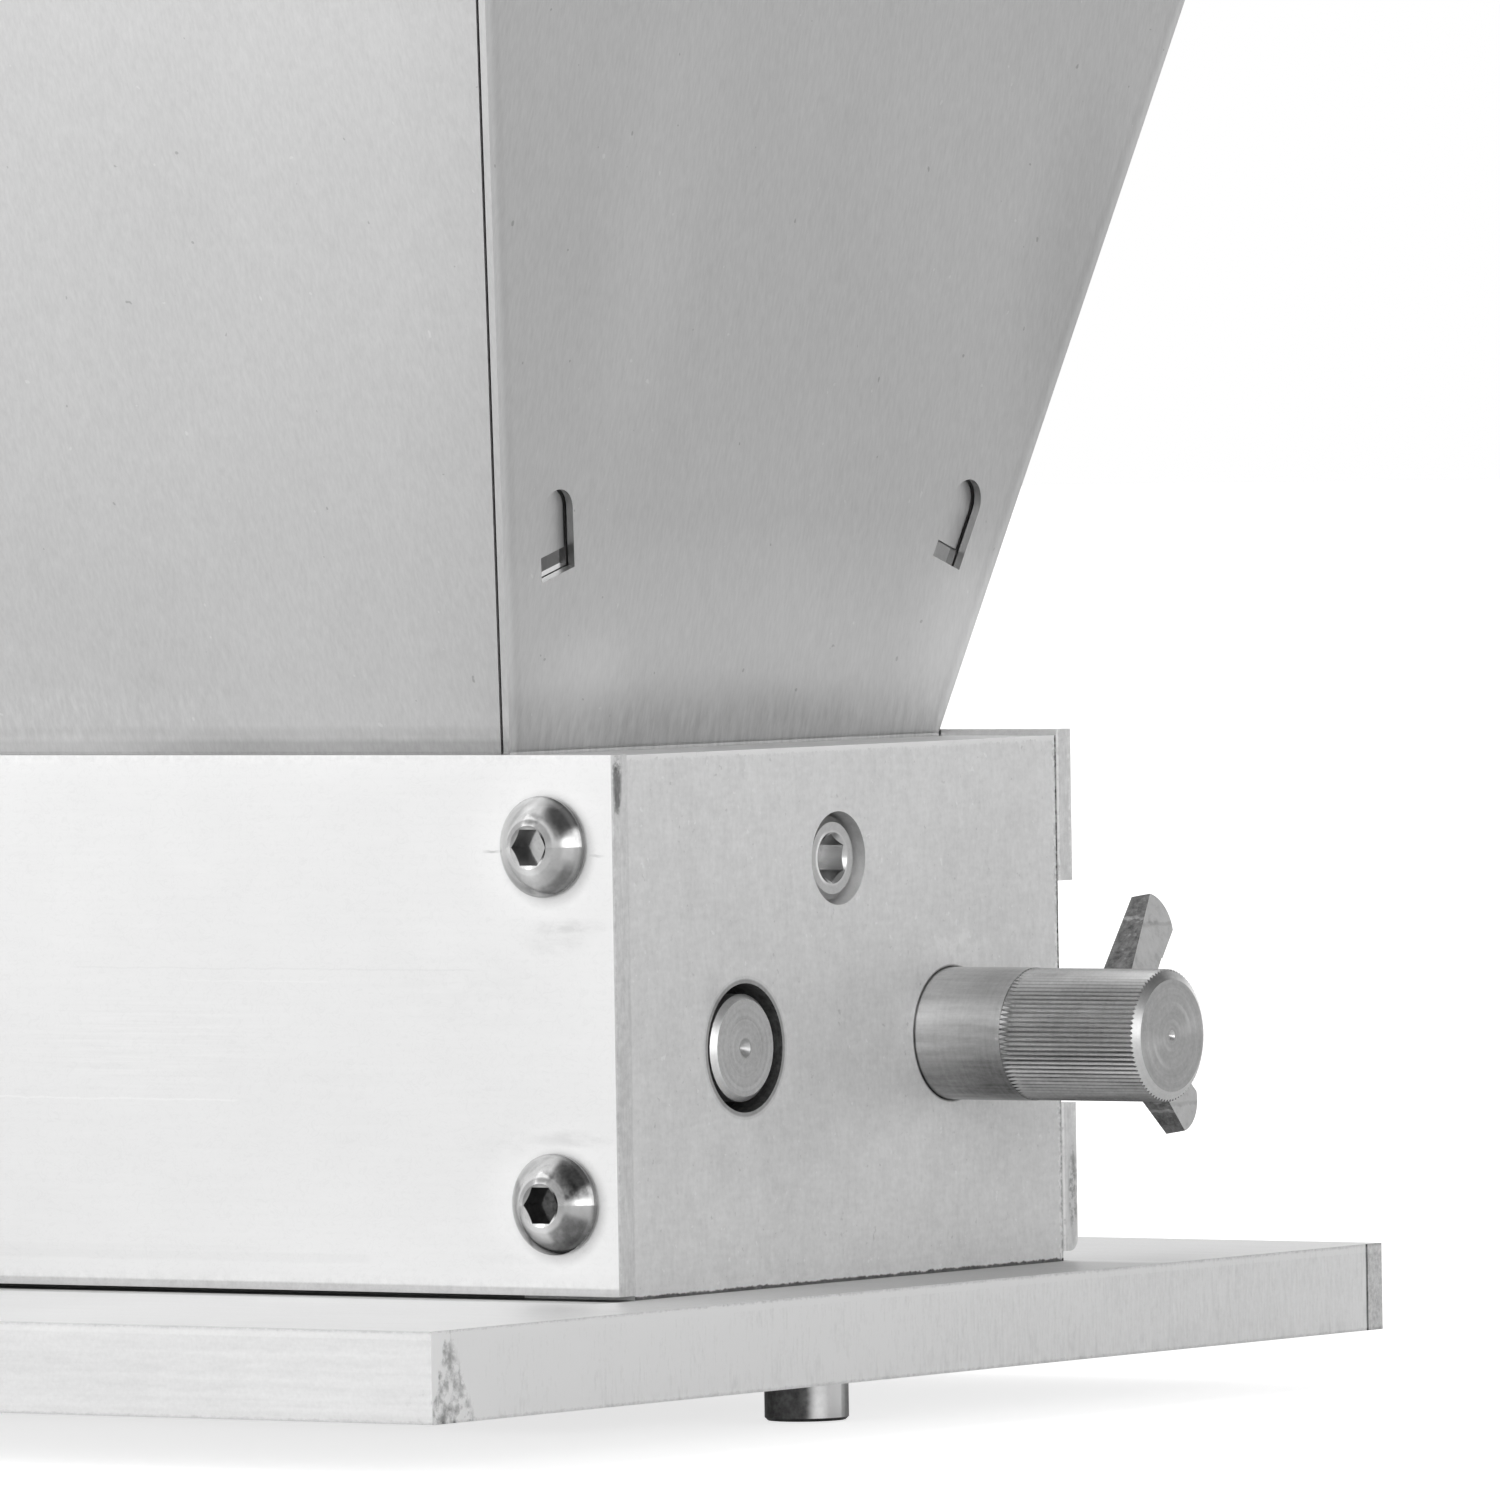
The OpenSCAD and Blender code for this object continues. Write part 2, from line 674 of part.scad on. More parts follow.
// One wing, drawn as its side outline: the screw's axis is X and the wing rises along Y.
module wing_outline() {
    hub_y = body_d / 2 + hub_stand;
    hub_end = hub_y + hub_l;
    lobe_x = hub_end + wing_sweep;
    lobe_y = wing_reach - wing_lobe_r;
    rear_x = lobe_x + wing_lobe_r;
    root = hub_d / 2 - 0.5;
    front = hub_y + wing_set - tan(wing_lean) * hub_d / 2;
    top = wing_reach + 1;
    intersection() {
        union() {
            translate([lobe_x, lobe_y]) circle(r = wing_lobe_r);
            polygon([[front, 0], [front + tan(wing_lean) * lobe_y, lobe_y],
                [rear_x, lobe_y], [hub_end, root], [hub_end, 0]]);
        }
        polygon([[front, 0], [front + tan(wing_lean) * top, top], [rear_x + 1, top],
            [rear_x, lobe_y - 0.6], [hub_end, root], [hub_end, 0]]);
    }
}

module wing_screw() {
    tip_y = knob_y + knob_d / 2 + wing_screw_gap;
    hub_y = body_d / 2 + hub_stand;
    x = end_x - wing_screw_inset;
    taper = atan((wing_root_t - wing_tip_t) / 2 / wing_reach);
    color(dark_steel) translate([x, 0, axis_z]) rotate([0, -wing_turn, 0]) {
        rod_y(0, tip_y, 0, screw_d, hub_y - tip_y + over);
        rod_y(0, hub_y, 0, hub_d, hub_l);
        for (side = [0, 180]) rotate([0, side, 0]) intersection() {
            translate([-wing_root_t / 2, 0, 0]) rotate([90, 0, 90])
                linear_extrude(wing_root_t) wing_outline();
            translate([wing_root_t / 2, 0, 0]) rotate([0, -taper, 0])
                translate([-2 * wing_root_t, 0, -over])
                    cube([2 * wing_root_t, 2 * hub_y, 2 * wing_reach]);
            translate([-wing_root_t / 2, 0, 0]) rotate([0, taper, 0])
                translate([0, 0, -over])
                    cube([2 * wing_root_t, 2 * hub_y, 2 * wing_reach]);
        }
    }
}

module wing_screw_right() { wing_screw(); }
module wing_screw_left() { mirror([1, 0, 0]) wing_screw(); }

// Turns a crank drawn along +Z from the shaft to where it rests.
// Local X runs outward from the mill, starting at the hub's inner face.
module on_crank() {
    translate([-hub_face_x, drive_y, axis_z]) rotate([-90 - crank_droop, 0, 0])
        mirror([1, 0, 0]) children();
}

module crank_arm() {
    arm_x = crank_hub_l - crank_arm_t;
    color(steel) on_crank() difference() {
        union() {
            rotate([0, 90, 0]) cylinder(d = crank_hub_d, h = crank_hub_l);
            translate([arm_x, -crank_arm_w / 2, 0]) cube([crank_arm_t, crank_arm_w, crank_l]);
            translate([arm_x, 0, crank_l]) rotate([0, 90, 0])
                cylinder(d = crank_arm_w, h = crank_arm_t);
        }
        translate([-over, 0, 0]) rotate([0, 90, 0])
            cylinder(d = driven_d + 2 * pressed, h = crank_hub_l + 2 * over);
        translate([crank_hub_l / 2 - 1, 0, -crank_hub_d])
            cylinder(d = set_screw_d + 2 * pressed, h = crank_hub_d);
        translate([arm_x - over, 0, crank_l]) rotate([0, 90, 0])
            cylinder(d = grip_bolt_d + 2 * pressed, h = crank_arm_t + 2 * over);
    }
}

module crank_set_screw() {
    l = crank_hub_d / 2 - driven_d / 2 - 0.8;
    color(dark_steel) on_crank() translate([crank_hub_l / 2 - 1, 0, -driven_d / 2 - l])
        difference() {
            cylinder(d = set_screw_d, h = l - running);
            translate([0, 0, -over]) hex(3, over + 3);
        }
}

grip_gap = 0.5;
grip_head_d = 13;
grip_head_h = 5;

module grip_bolt() {
    color(steel) on_crank() translate([crank_hub_l - crank_arm_t, 0, crank_l])
        rotate([0, 90, 0]) difference() {
            union() {
                cylinder(d = grip_bolt_d, h = crank_arm_t + grip_l);
                translate([0, 0, crank_arm_t + grip_gap + grip_l - grip_head_h])
                    cylinder(d = grip_head_d, h = grip_head_h);
            }
            translate([0, 0, crank_arm_t + grip_gap + grip_l - 3]) hex(5, 4);
        }
}

module crank_grip() {
    end_d = 0.78 * grip_d;
    bulge_z = 0.6 * grip_l;
    round = 4;
    bulge_r = (pow(bulge_z, 2) + pow((grip_d - end_d) / 2, 2)) / (grip_d - end_d);
    color(black_plastic) on_crank() translate([crank_hub_l + grip_gap, 0, crank_l])
        rotate([0, 90, 0]) difference() {
            rotate_extrude() difference() {
                intersection() {
                    translate([0, 0]) square([grip_d / 2, grip_l]);
                    translate([grip_d / 2 - bulge_r, bulge_z]) circle(r = bulge_r, $fn = 360);
                    union() {
                        translate([0, round]) square([grip_d, grip_l - 2 * round]);
                        square([end_d / 2 - round / 2, grip_l]);
                        for (z = [round, grip_l - round])
                            translate([end_d / 2 - round / 2, z]) circle(r = round);
                    }
                }
            }
            translate([0, 0, -over]) cylinder(d = grip_bolt_d + 2 * running, h = grip_l + 2 * over);
            translate([0, 0, grip_l - grip_head_h - 2 * running])
                cylinder(d = grip_head_d + 6 * running, h = grip_head_h + over);
        }
}

base_plate();
end_block_right();
end_block_left();
front_plate();
rear_plate();
front_plate_screws();
rear_plate_screws();
tie_rod();
tie_rod_screws();
base_screws();
drive_bushing_right();
drive_bushing_left();
hopper_front_panel();
hopper_rear_panel();
hopper_right_panel();
hopper_left_panel();
drive_shaft();
drive_roller();
crank_arm();
crank_set_screw();
grip_bolt();
crank_grip();
adjuster_knob_right();
adjuster_knob_left();
idler_shaft();
idler_roller();
thrust_washers();
wing_screw_right();
wing_screw_left();
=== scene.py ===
import math

import bpy
from mathutils import Matrix, Vector


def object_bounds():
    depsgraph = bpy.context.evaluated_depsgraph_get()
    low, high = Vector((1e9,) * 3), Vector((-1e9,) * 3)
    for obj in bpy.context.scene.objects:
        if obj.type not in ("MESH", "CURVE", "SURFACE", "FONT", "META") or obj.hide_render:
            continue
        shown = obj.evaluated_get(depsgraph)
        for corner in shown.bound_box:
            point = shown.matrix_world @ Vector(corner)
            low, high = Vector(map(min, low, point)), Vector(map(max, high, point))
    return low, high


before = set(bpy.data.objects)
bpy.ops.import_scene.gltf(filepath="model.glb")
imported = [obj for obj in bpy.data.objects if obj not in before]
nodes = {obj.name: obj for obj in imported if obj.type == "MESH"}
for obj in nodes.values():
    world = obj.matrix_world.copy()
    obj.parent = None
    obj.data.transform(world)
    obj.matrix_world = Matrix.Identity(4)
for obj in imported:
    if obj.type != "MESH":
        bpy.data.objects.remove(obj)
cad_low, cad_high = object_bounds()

MM = 0.001

# Places in the object's frame, in millimetres. Axes along X are given as y and z, and the
# plates' screws as x and z.
AXIS_Z = 36.9
DRIVE_Y = -20.25
KNOB_Y = 20.25
DRIVE_AXIS = (DRIVE_Y, AXIS_Z)
KNOB_AXIS = (KNOB_Y, AXIS_Z)
IDLER_AXIS = (18.729, 38.199)
TIE_ROD_AXIS = (-1.6, 57.4)
UPPER_SCREW = (69.2, 60.0)
LOWER_SCREW = (70.1, 20.6)
THROAT_X = 62.5
THROAT_Y = 41.75
THROAT_Z = 70.3

# The hopper's slopes, as run over rise.
SIDE_SLOPE = 0.211
FRONT_SLOPE = 0.319

# Sizes in millimetres, and the number of teeth round the knob.
SOCKET_FLATS = 3.97
ROLLER_RADIUS = 19.0
KNURL_TEETH = 82.0

# The roller's knurl: lean of its grooves, and radians of their wave per millimetre.
GROOVE_LEAN = 0.75
GROOVE_PHASE = 4.0

# Bevels, in metres, and the sharpest angle between faces that they leave, in degrees.
PLATE_BEVEL = 0.0003
WING_BEVEL = 0.0005
BEVEL_ANGLE = 40

# The finest relief, in metres.
FINE_RELIEF = 0.00002

# Noise mostly lies between these two values.
NOISE_LOW = 0.3
NOISE_HIGH = 0.7

# The darkest that layers can make a surface, as a share of its level.
DARKEST = 0.03

DEGREES = math.degrees(1.0)
SIN_60 = 0.866
COS_60 = 0.5

# The camera: its place in metres, the directions of its own axes, and its lens.
CAMERA_PLACE = (1.14400, -1.52759, 0.11022)
CAMERA_RIGHT = (0.81701, 0.57641, -0.01586)
CAMERA_UP = (0.00039, 0.02695, 0.99964)
CAMERA_BACK = (0.57662, -0.81672, 0.02180)
LENS = 399.23
SENSOR = 36.0
NEAREST = 0.05
FARTHEST = 60.0


# ---------------------------------------------------------------- camera

def make_camera():
    data = bpy.data.cameras.new("camera")
    cam = bpy.data.objects.new("camera", data)
    bpy.context.collection.objects.link(cam)
    turn = Matrix((CAMERA_RIGHT, CAMERA_UP, CAMERA_BACK)).transposed().to_4x4()
    cam.matrix_world = Matrix.Translation(CAMERA_PLACE) @ turn
    data.sensor_width = SENSOR
    data.lens = LENS
    data.clip_start = NEAREST
    data.clip_end = FARTHEST
    bpy.context.scene.camera = cam


# ---------------------------------------------------------------- shader helpers

class Tree:
    """A node tree, with short calls for the nodes used here."""

    def __init__(self, owner):
        owner.use_nodes = True
        self.tree = owner.node_tree
        self.tree.nodes.clear()

    def add(self, kind, **values):
        node = self.tree.nodes.new(kind)
        for key, value in values.items():
            setattr(node, key, value)
        return node

    def link(self, a, b):
        self.tree.links.new(a, b)

    def put(self, socket, value):
        """value is a number or another node's output."""
        if hasattr(value, "is_linked"):
            self.link(value, socket)
        else:
            socket.default_value = value

    def math(self, operation, a, b=0.0):
        node = self.add("ShaderNodeMath", operation=operation)
        self.put(node.inputs[0], a)
        self.put(node.inputs[1], b)
        return node.outputs[0]

    def plus(self, a, b):
        return self.math("ADD", a, b)

    def minus(self, a, b):
        return self.math("SUBTRACT", a, b)

    def times(self, a, b):
        return self.math("MULTIPLY", a, b)

    def absolute(self, a):
        return self.math("ABSOLUTE", a)

    def remap(self, value, low, high, to_low=0.0, to_high=1.0, smooth=False):
        """Takes value from low..high to to_low..to_high, and holds it there beyond them."""
        node = self.add("ShaderNodeMapRange")
        if smooth:
            node.interpolation_type = "SMOOTHSTEP"
        node.clamp = True
        self.put(node.inputs["Value"], value)
        self.put(node.inputs["From Min"], low)
        self.put(node.inputs["From Max"], high)
        self.put(node.inputs["To Min"], to_low)
        self.put(node.inputs["To Max"], to_high)
        return node.outputs["Result"]

    def axes(self, vector):
        """The three numbers of a vector."""
        node = self.add("ShaderNodeSeparateXYZ")
        self.link(vector, node.inputs[0])
        return node.outputs

    def dot(self, vector, direction):
        """The cosine between vector and a direction."""
        node = self.add("ShaderNodeVectorMath", operation="DOT_PRODUCT")
        self.link(vector, node.inputs[0])
        node.inputs[1].default_value = Vector(direction).normalized()
        return node.outputs["Value"]


def linear_grey(value):
    """The linear brightness of an sRGB level from 0 to 255."""
    level = value / 255.0
    return level / 12.92 if level <= 0.04045 else ((level + 0.055) / 1.055) ** 2.4


# ---------------------------------------------------------------- materials

class Surface(Tree):
    """A material whose tone is a sum of layers, each a small change in brightness.

    x, y and z are the place in millimetres, and nx, ny and nz the face's own normal, all in
    the object's frame. Masks run from 0 to 1.
    """

    def __init__(self, name, level):
        self.mat = bpy.data.materials.new(name)
        super().__init__(self.mat)
        out = self.add("ShaderNodeOutputMaterial")
        self.bsdf = self.add("ShaderNodeBsdfPrincipled")
        self.link(self.bsdf.outputs["BSDF"], out.inputs["Surface"])
        self.coord = self.add("ShaderNodeTexCoord")
        self.value = linear_grey(level)
        self.tone = None
        self.height = None
        self.x, self.y, self.z = self.axes(self.object_mm())
        self.nx, self.ny, self.nz = self.axes(self.coord.outputs["Normal"])

    def object_mm(self, centre=(0, 0, 0), scale=(1, 1, 1), turn=(0, 0, 0)):
        """Object coordinates in millimetres from centre, scaled."""
        node = self.add("ShaderNodeMapping", vector_type="POINT")
        away = self.add("ShaderNodeVectorMath", operation="SUBTRACT")
        self.link(self.coord.outputs["Object"], away.inputs[0])
        away.inputs[1].default_value = [c * MM for c in centre]
        self.link(away.outputs[0], node.inputs["Vector"])
        node.inputs["Rotation"].default_value = turn
        node.inputs["Scale"].default_value = [s / MM for s in scale]
        return node.outputs[0]

    def noise(self, vector, scale, detail, rough, distort=0.0):
        node = self.add("ShaderNodeTexNoise")
        self.link(vector, node.inputs["Vector"])
        node.inputs["Scale"].default_value = scale
        node.inputs["Detail"].default_value = detail
        node.inputs["Roughness"].default_value = rough
        node.inputs["Distortion"].default_value = distort
        return node.outputs["Fac"]

    def cells(self, vector, scale):
        """Distance to the nearest of a set of scattered points."""
        node = self.add("ShaderNodeTexVoronoi")
        self.link(vector, node.inputs["Vector"])
        node.inputs["Scale"].default_value = scale
        return node.outputs["Distance"]

    def layer(self, amount, *masks):
        """Adds amount to the tone, where all the masks let it through."""
        for mask in masks:
            amount = self.times(amount, mask)
        self.tone = amount if self.tone is None else self.plus(self.tone, amount)

    def relief(self, height, distance, strength=0.5):
        """A bump map on top of those there already; distance is in metres."""
        node = self.add("ShaderNodeBump")
        node.inputs["Strength"].default_value = strength
        node.inputs["Distance"].default_value = distance
        self.put(node.inputs["Height"], height)
        if self.height is not None:
            self.link(self.height, node.inputs["Normal"])
        self.height = node.outputs[0]

    def vary(self, noise, low, high):
        """Noise taken to the range low..high."""
        return self.remap(noise, NOISE_LOW, NOISE_HIGH, low, high)

    def grain(self, amount, scale, stretch=(1, 1, 1), detail=4, masks=()):
        """A layer of noise, lighter and darker by amount."""
        noise = self.noise(self.object_mm(scale=stretch), scale, detail, 0.6)
        self.layer(self.vary(noise, -amount, amount), *masks)
        return noise

    def facing(self, direction):
        """1 where the face looks along direction, 0 where it looks across it."""
        return self.dot(self.coord.outputs["Normal"], direction)

    def band(self, value, centre, half, soft):
        """1 where value is within half of centre, falling to 0 over soft."""
        away = self.absolute(self.minus(value, centre))
        return self.remap(away, half, half + soft, 1.0, 0.0, smooth=True)

    def spot(self, a, b, centre, half, soft):
        """1 inside an ellipse round centre in the plane of a and b; half and soft are shares."""
        p = self.math("DIVIDE", self.minus(a, centre[0]), half[0])
        q = self.math("DIVIDE", self.minus(b, centre[1]), half[1])
        r = self.math("SQRT", self.plus(self.times(p, p), self.times(q, q)))
        return self.remap(r, 1.0 - soft, 1.0, 1.0, 0.0, smooth=True)

    def polar(self, a, b, centre):
        """Distance and angle from centre in the plane of a and b."""
        p = self.minus(a, centre[0])
        q = self.minus(b, centre[1])
        r = self.math("SQRT", self.plus(self.times(p, p), self.times(q, q)))
        return r, self.math("ARCTAN2", q, p)

    def done(self, rough, metallic=1.0):
        """Joins the tone and the relief to the shader, and gives the material."""
        level = self.times(self.math("MAXIMUM", self.plus(self.tone, 1.0), DARKEST), self.value)
        colour = self.add("ShaderNodeCombineColor")
        for socket in colour.inputs:
            self.put(socket, level)
        self.put(self.bsdf.inputs["Base Color"], colour.outputs[0])
        self.put(self.bsdf.inputs["Roughness"], rough)
        self.put(self.bsdf.inputs["Metallic"], metallic)
        if self.height is not None:
            self.link(self.height, self.bsdf.inputs["Normal"])
        return self.mat


# Smudges on the front plate: centre and half size in x and z, and change of tone.
SMUDGES = (
    ((72.5, 51.2), (7.5, 1.2), -0.10), ((70.5, 49.6), (6.0, 2.2), -0.06),
    ((72.5, 27.8), (7.0, 1.4), -0.10), ((64.0, 27.0), (9.0, 2.5), -0.03),
    ((64.5, 14.5), (8.0, 3.0), -0.03), ((60.0, 44.0), (16, 6), -0.02),
)

# Scratches along the front plate: z, first and last x, half width, and change of tone.
SCRATCHES = (
    (31.6, -9, 27, 0.07, 0.05), (46.3, 3, 60, 0.06, -0.035), (44.9, 18, 40, 0.05, 0.03),
    (14.1, -20, 45, 0.35, -0.03), (15.0, -30, 30, 0.2, -0.015),
    (59.45, 60.8, 63.6, 0.09, -0.30), (59.05, 75.2, 77.6, 0.09, -0.22),
)

# Painted reflections on the button heads, in sectors: from and to in degrees, softness, radii and
# change of tone.
UPPER_REFLECTIONS = (
    (24, 60, 18, 3.2, 4.9, -0.50), (-14, 10, 8, 3.8, 4.9, 0.22), (-75, -35, 20, 4.2, 5.6, -0.42),
    (95, 179, 10, 4.4, 5.6, -0.16), (-179, -100, 10, 4.2, 5.6, -0.30), (-10, 66, 12, 5.3, 5.6, -0.30),
)
LOWER_REFLECTIONS = (
    (16, 66, 12, 2.9, 5.4, -0.64), (14, 34, 10, 2.9, 4.4, -0.18), (-12, 4, 8, 3.4, 5.2, 0.16),
    (-68, -24, 14, 2.8, 5.6, -0.52), (95, 150, 20, 4.0, 5.6, -0.22), (150, 179, 8, 3.2, 5.6, -0.42),
    (-179, -125, 12, 3.4, 5.6, -0.50), (-120, -80, 12, 4.0, 5.6, -0.36),
)


def plate_material():
    """Mill-finish plate: faint rolling lines, worn patches round the screws, marked ends."""
    m = Surface("plate aluminium", 236)
    face = m.remap(m.absolute(m.ny), 0.7, 0.9)
    end = m.remap(m.absolute(m.nx), 0.7, 0.9)
    front = m.remap(m.ny, -0.7, -0.9)
    side_x = m.absolute(m.x)
    m.grain(0.012, 0.03)
    m.grain(0.010, 1.0, (0.06, 1, 1.4), 6)

    # Winding lines of the mill finish.
    worms = m.noise(m.object_mm(scale=(1, 1, 1.3)), 0.55, 2, 0.5, 1.6)
    m.layer(m.remap(m.absolute(m.minus(worms, 0.5)), 0.0, 0.03, -0.03, 0.006), face)

    # A rubbed halo and a soft shade round each screw.
    patches = m.noise(m.object_mm(), 0.16, 4, 0.6)
    dabs = m.noise(m.object_mm(scale=(0.5, 1, 1.6)), 0.5, 4, 0.6)
    for centre in (UPPER_SCREW, LOWER_SCREW):
        halo = m.spot(side_x, m.z, centre, (12.5, 11.0), 0.55)
        m.layer(m.remap(patches, 0.25, 0.6, 0.02, 0.07), halo, face)
        shade = m.spot(side_x, m.z, (centre[0] + 0.5, centre[1] - 0.35), (6.9, 6.9), 0.22)
        m.layer(-0.22, shade, face)

    # Lighter towards the ends and along the upper and lower edges.
    m.layer(m.remap(side_x, 60, 78, 0.0, 0.035), face)
    m.layer(m.remap(m.z, 66, 70.5, 0.0, 0.03), face)
    m.layer(m.remap(m.z, 15, 11, 0.0, 0.03), face)

    for centre, half, amount in SMUDGES:
        smudge = m.spot(m.x, m.z, centre, half, 0.9)
        m.layer(m.remap(dabs, 0.38, 0.60, 0.2 * amount, 1.5 * amount), smudge, front)
    wobble = m.noise(m.object_mm(), 0.4, 3, 0.6)
    for height, low, high, half, amount in SCRATCHES:
        line = m.band(m.plus(m.z, m.vary(wobble, -0.12, 0.12)), height, half, half)
        reach = m.times(m.remap(m.x, low, low + 1.2), m.remap(m.x, high, high - 1.2))
        m.layer(amount, line, reach, front)

    # Faint rolling lines in the middle.
    hatch = m.noise(m.object_mm(scale=(0.02, 1, 1)), 3.2, 2, 0.5)
    area = m.spot(m.x, m.z, (14, 38), (24, 8), 0.8)
    m.layer(m.remap(hatch, 0.35, 0.65, -0.022, 0.022), area, front)

    # Uneven upper and lower edges.
    rough_line = m.noise(m.object_mm(), 1.1, 4, 0.7)
    for edge in (70.0, 11.2):
        away = m.absolute(m.minus(m.z, edge))
        m.layer(m.remap(rough_line, 0.35, 0.65, -0.05, 0.05), m.remap(away, 1.4, 0.2), face)

    # The sheared ends, with a scuff on the front corner and a painted highlight on a seam of the
    # rear plate, and last painted shade along the lower edge of the faces.
    m.layer(m.vary(rough_line, -0.14, 0.03), end)
    streak = m.noise(m.object_mm(scale=(1, 2, 0.3)), 1.2, 3, 0.6)
    m.layer(m.vary(streak, -0.06, 0.06), end)
    jag = m.vary(rough_line, -0.5, 0.5)
    scuff = m.spot(m.y, m.plus(m.z, m.times(jag, 3.0)), (-43.85, 66.6), (1.05, 3.9), 0.6)
    m.layer(-0.62, scuff, m.remap(m.nx, 0.7, 0.9))
    worn = m.remap(m.plus(m.absolute(m.y), m.times(jag, 0.5)), 44.5, 44.8)
    m.layer(0.12, worn, end)
    seam = m.band(m.absolute(m.y), 42.35, 0.12, 0.12)
    m.layer(m.remap(rough_line, 0.35, 0.5, 0.0, 0.26), seam, end, m.remap(m.y, 0, 10))
    low_end = m.spot(m.y, m.z, (44.2, 18.0), (1.3, 7.0), 0.6)
    m.layer(m.remap(rough_line, 0.42, 0.58, 0.0, -0.55), low_end, end)
    # Painted shade along the lower edge of the faces, above the gap at the base.
    m.layer(-0.25, m.remap(m.z, 11.5, 11.25), face)
    m.relief(worms, 0.00003, 0.25)
    return m.done(m.vary(patches, 0.40, 0.46))


def block_material():
    """Sawn and sanded bar ends, speckled, with a worn rear edge and painted light and shade."""
    m = Surface("block aluminium", 240)
    end = m.remap(m.absolute(m.nx), 0.7, 0.9)
    inside = m.remap(m.absolute(m.nx), 0.6, 0.4)
    m.grain(0.025, 0.05)
    m.grain(0.03, 0.22, detail=5)
    speck = m.grain(0.045, 1.8, detail=4)
    m.grain(0.03, 1.5, (1, 0.3, 1))
    m.grain(0.03, 1.5, (1, 1, 0.3))
    brushed = m.noise(m.object_mm(scale=(1, 1, 0.25), turn=(0.3, 0, 0)), 1.6, 3, 0.6)
    m.layer(m.vary(brushed, -0.02, 0.02), end)

    # Bright and dark specks.
    bright = m.noise(m.object_mm(centre=(9, 3, 5)), 1.1, 2, 0.5)
    m.layer(m.remap(bright, 0.70, 0.76, 0.0, 0.14), end)
    m.layer(m.remap(bright, 0.29, 0.24, 0.0, -0.16), end)

    # Lighter towards the top and the bottom.
    m.layer(m.remap(m.z, 45, 70, 0.0, 0.05), end)
    m.layer(m.remap(m.z, 42, 15, 0.0, 0.035), end)

    # A painted highlight along the upper edge, the worn rear edge, painted shade in the gap above
    # the base, and dark lines along the joins with the plates.
    jag = m.noise(m.object_mm(), 0.9, 4, 0.7)
    shift = m.vary(jag, -0.35, 0.35)
    top = m.remap(m.plus(m.z, shift), 69.3, 69.7)
    # A painted highlight along the upper edge.
    m.layer(m.remap(jag, 0.35, 0.6, 0.40, 0.05), top, end)
    # Painted shade in the gap above the base.
    m.layer(-0.85, m.remap(m.plus(m.z, m.times(shift, 0.4)), 10.42, 10.28), end)
    rear = m.remap(m.plus(m.y, shift), 41.2, 41.5)
    m.layer(m.remap(speck, 0.4, 0.6, -0.22, 0.16), rear, end)
    m.layer(m.remap(m.z, 24, 38, -0.25, -0.80), m.band(m.y, 41.9, 0.12, 0.12), end)
    m.layer(-0.08, m.band(m.y, -42.0, 0.10, 0.12), end)

    # A light smear and a dark one.
    smear = m.noise(m.object_mm(), 0.5, 4, 0.65)
    blur = m.spot(m.y, m.z, (22, 46.8), (10, 3.2), 0.9)
    m.layer(m.remap(smear, 0.42, 0.62, 0.0, 0.13), blur, end)
    dirt = m.spot(m.y, m.z, (-26.0, 42.6), (3.4, 3.6), 0.9)
    m.layer(-0.10, dirt, end)

    # Painted shade in the bores and round the drive bore's mouth, and the counterbore with a painted
    # highlight on its lower wall and painted shade on its upper wall.
    away = m.polar(m.y, m.z, DRIVE_AXIS)[0]
    m.layer(-0.88, m.remap(away, 7.9, 7.6), inside)
    m.layer(-0.5, m.remap(away, 7.75, 7.5), end)
    m.layer(-0.10, m.band(away, 7.75, 0.15, 0.2))
    away = m.polar(m.y, m.z, KNOB_AXIS)[0]
    m.layer(-0.6, m.remap(away, 7.85, 7.65))
    away, angle = m.polar(m.y, m.z, TIE_ROD_AXIS)
    wall = m.times(m.remap(away, 5.9, 5.6), inside)
    m.layer(m.remap(m.math("SINE", angle), -0.5, 0.5, 0.12, -0.34), wall)
    m.relief(speck, 0.00004, 0.5)
    return m.done(0.55, 0.35)


# Slopes of the two lines that bound the base's knocked corner, as y over z.
NEAR_SLOPE = 0.286
FAR_SLOPE = -0.46


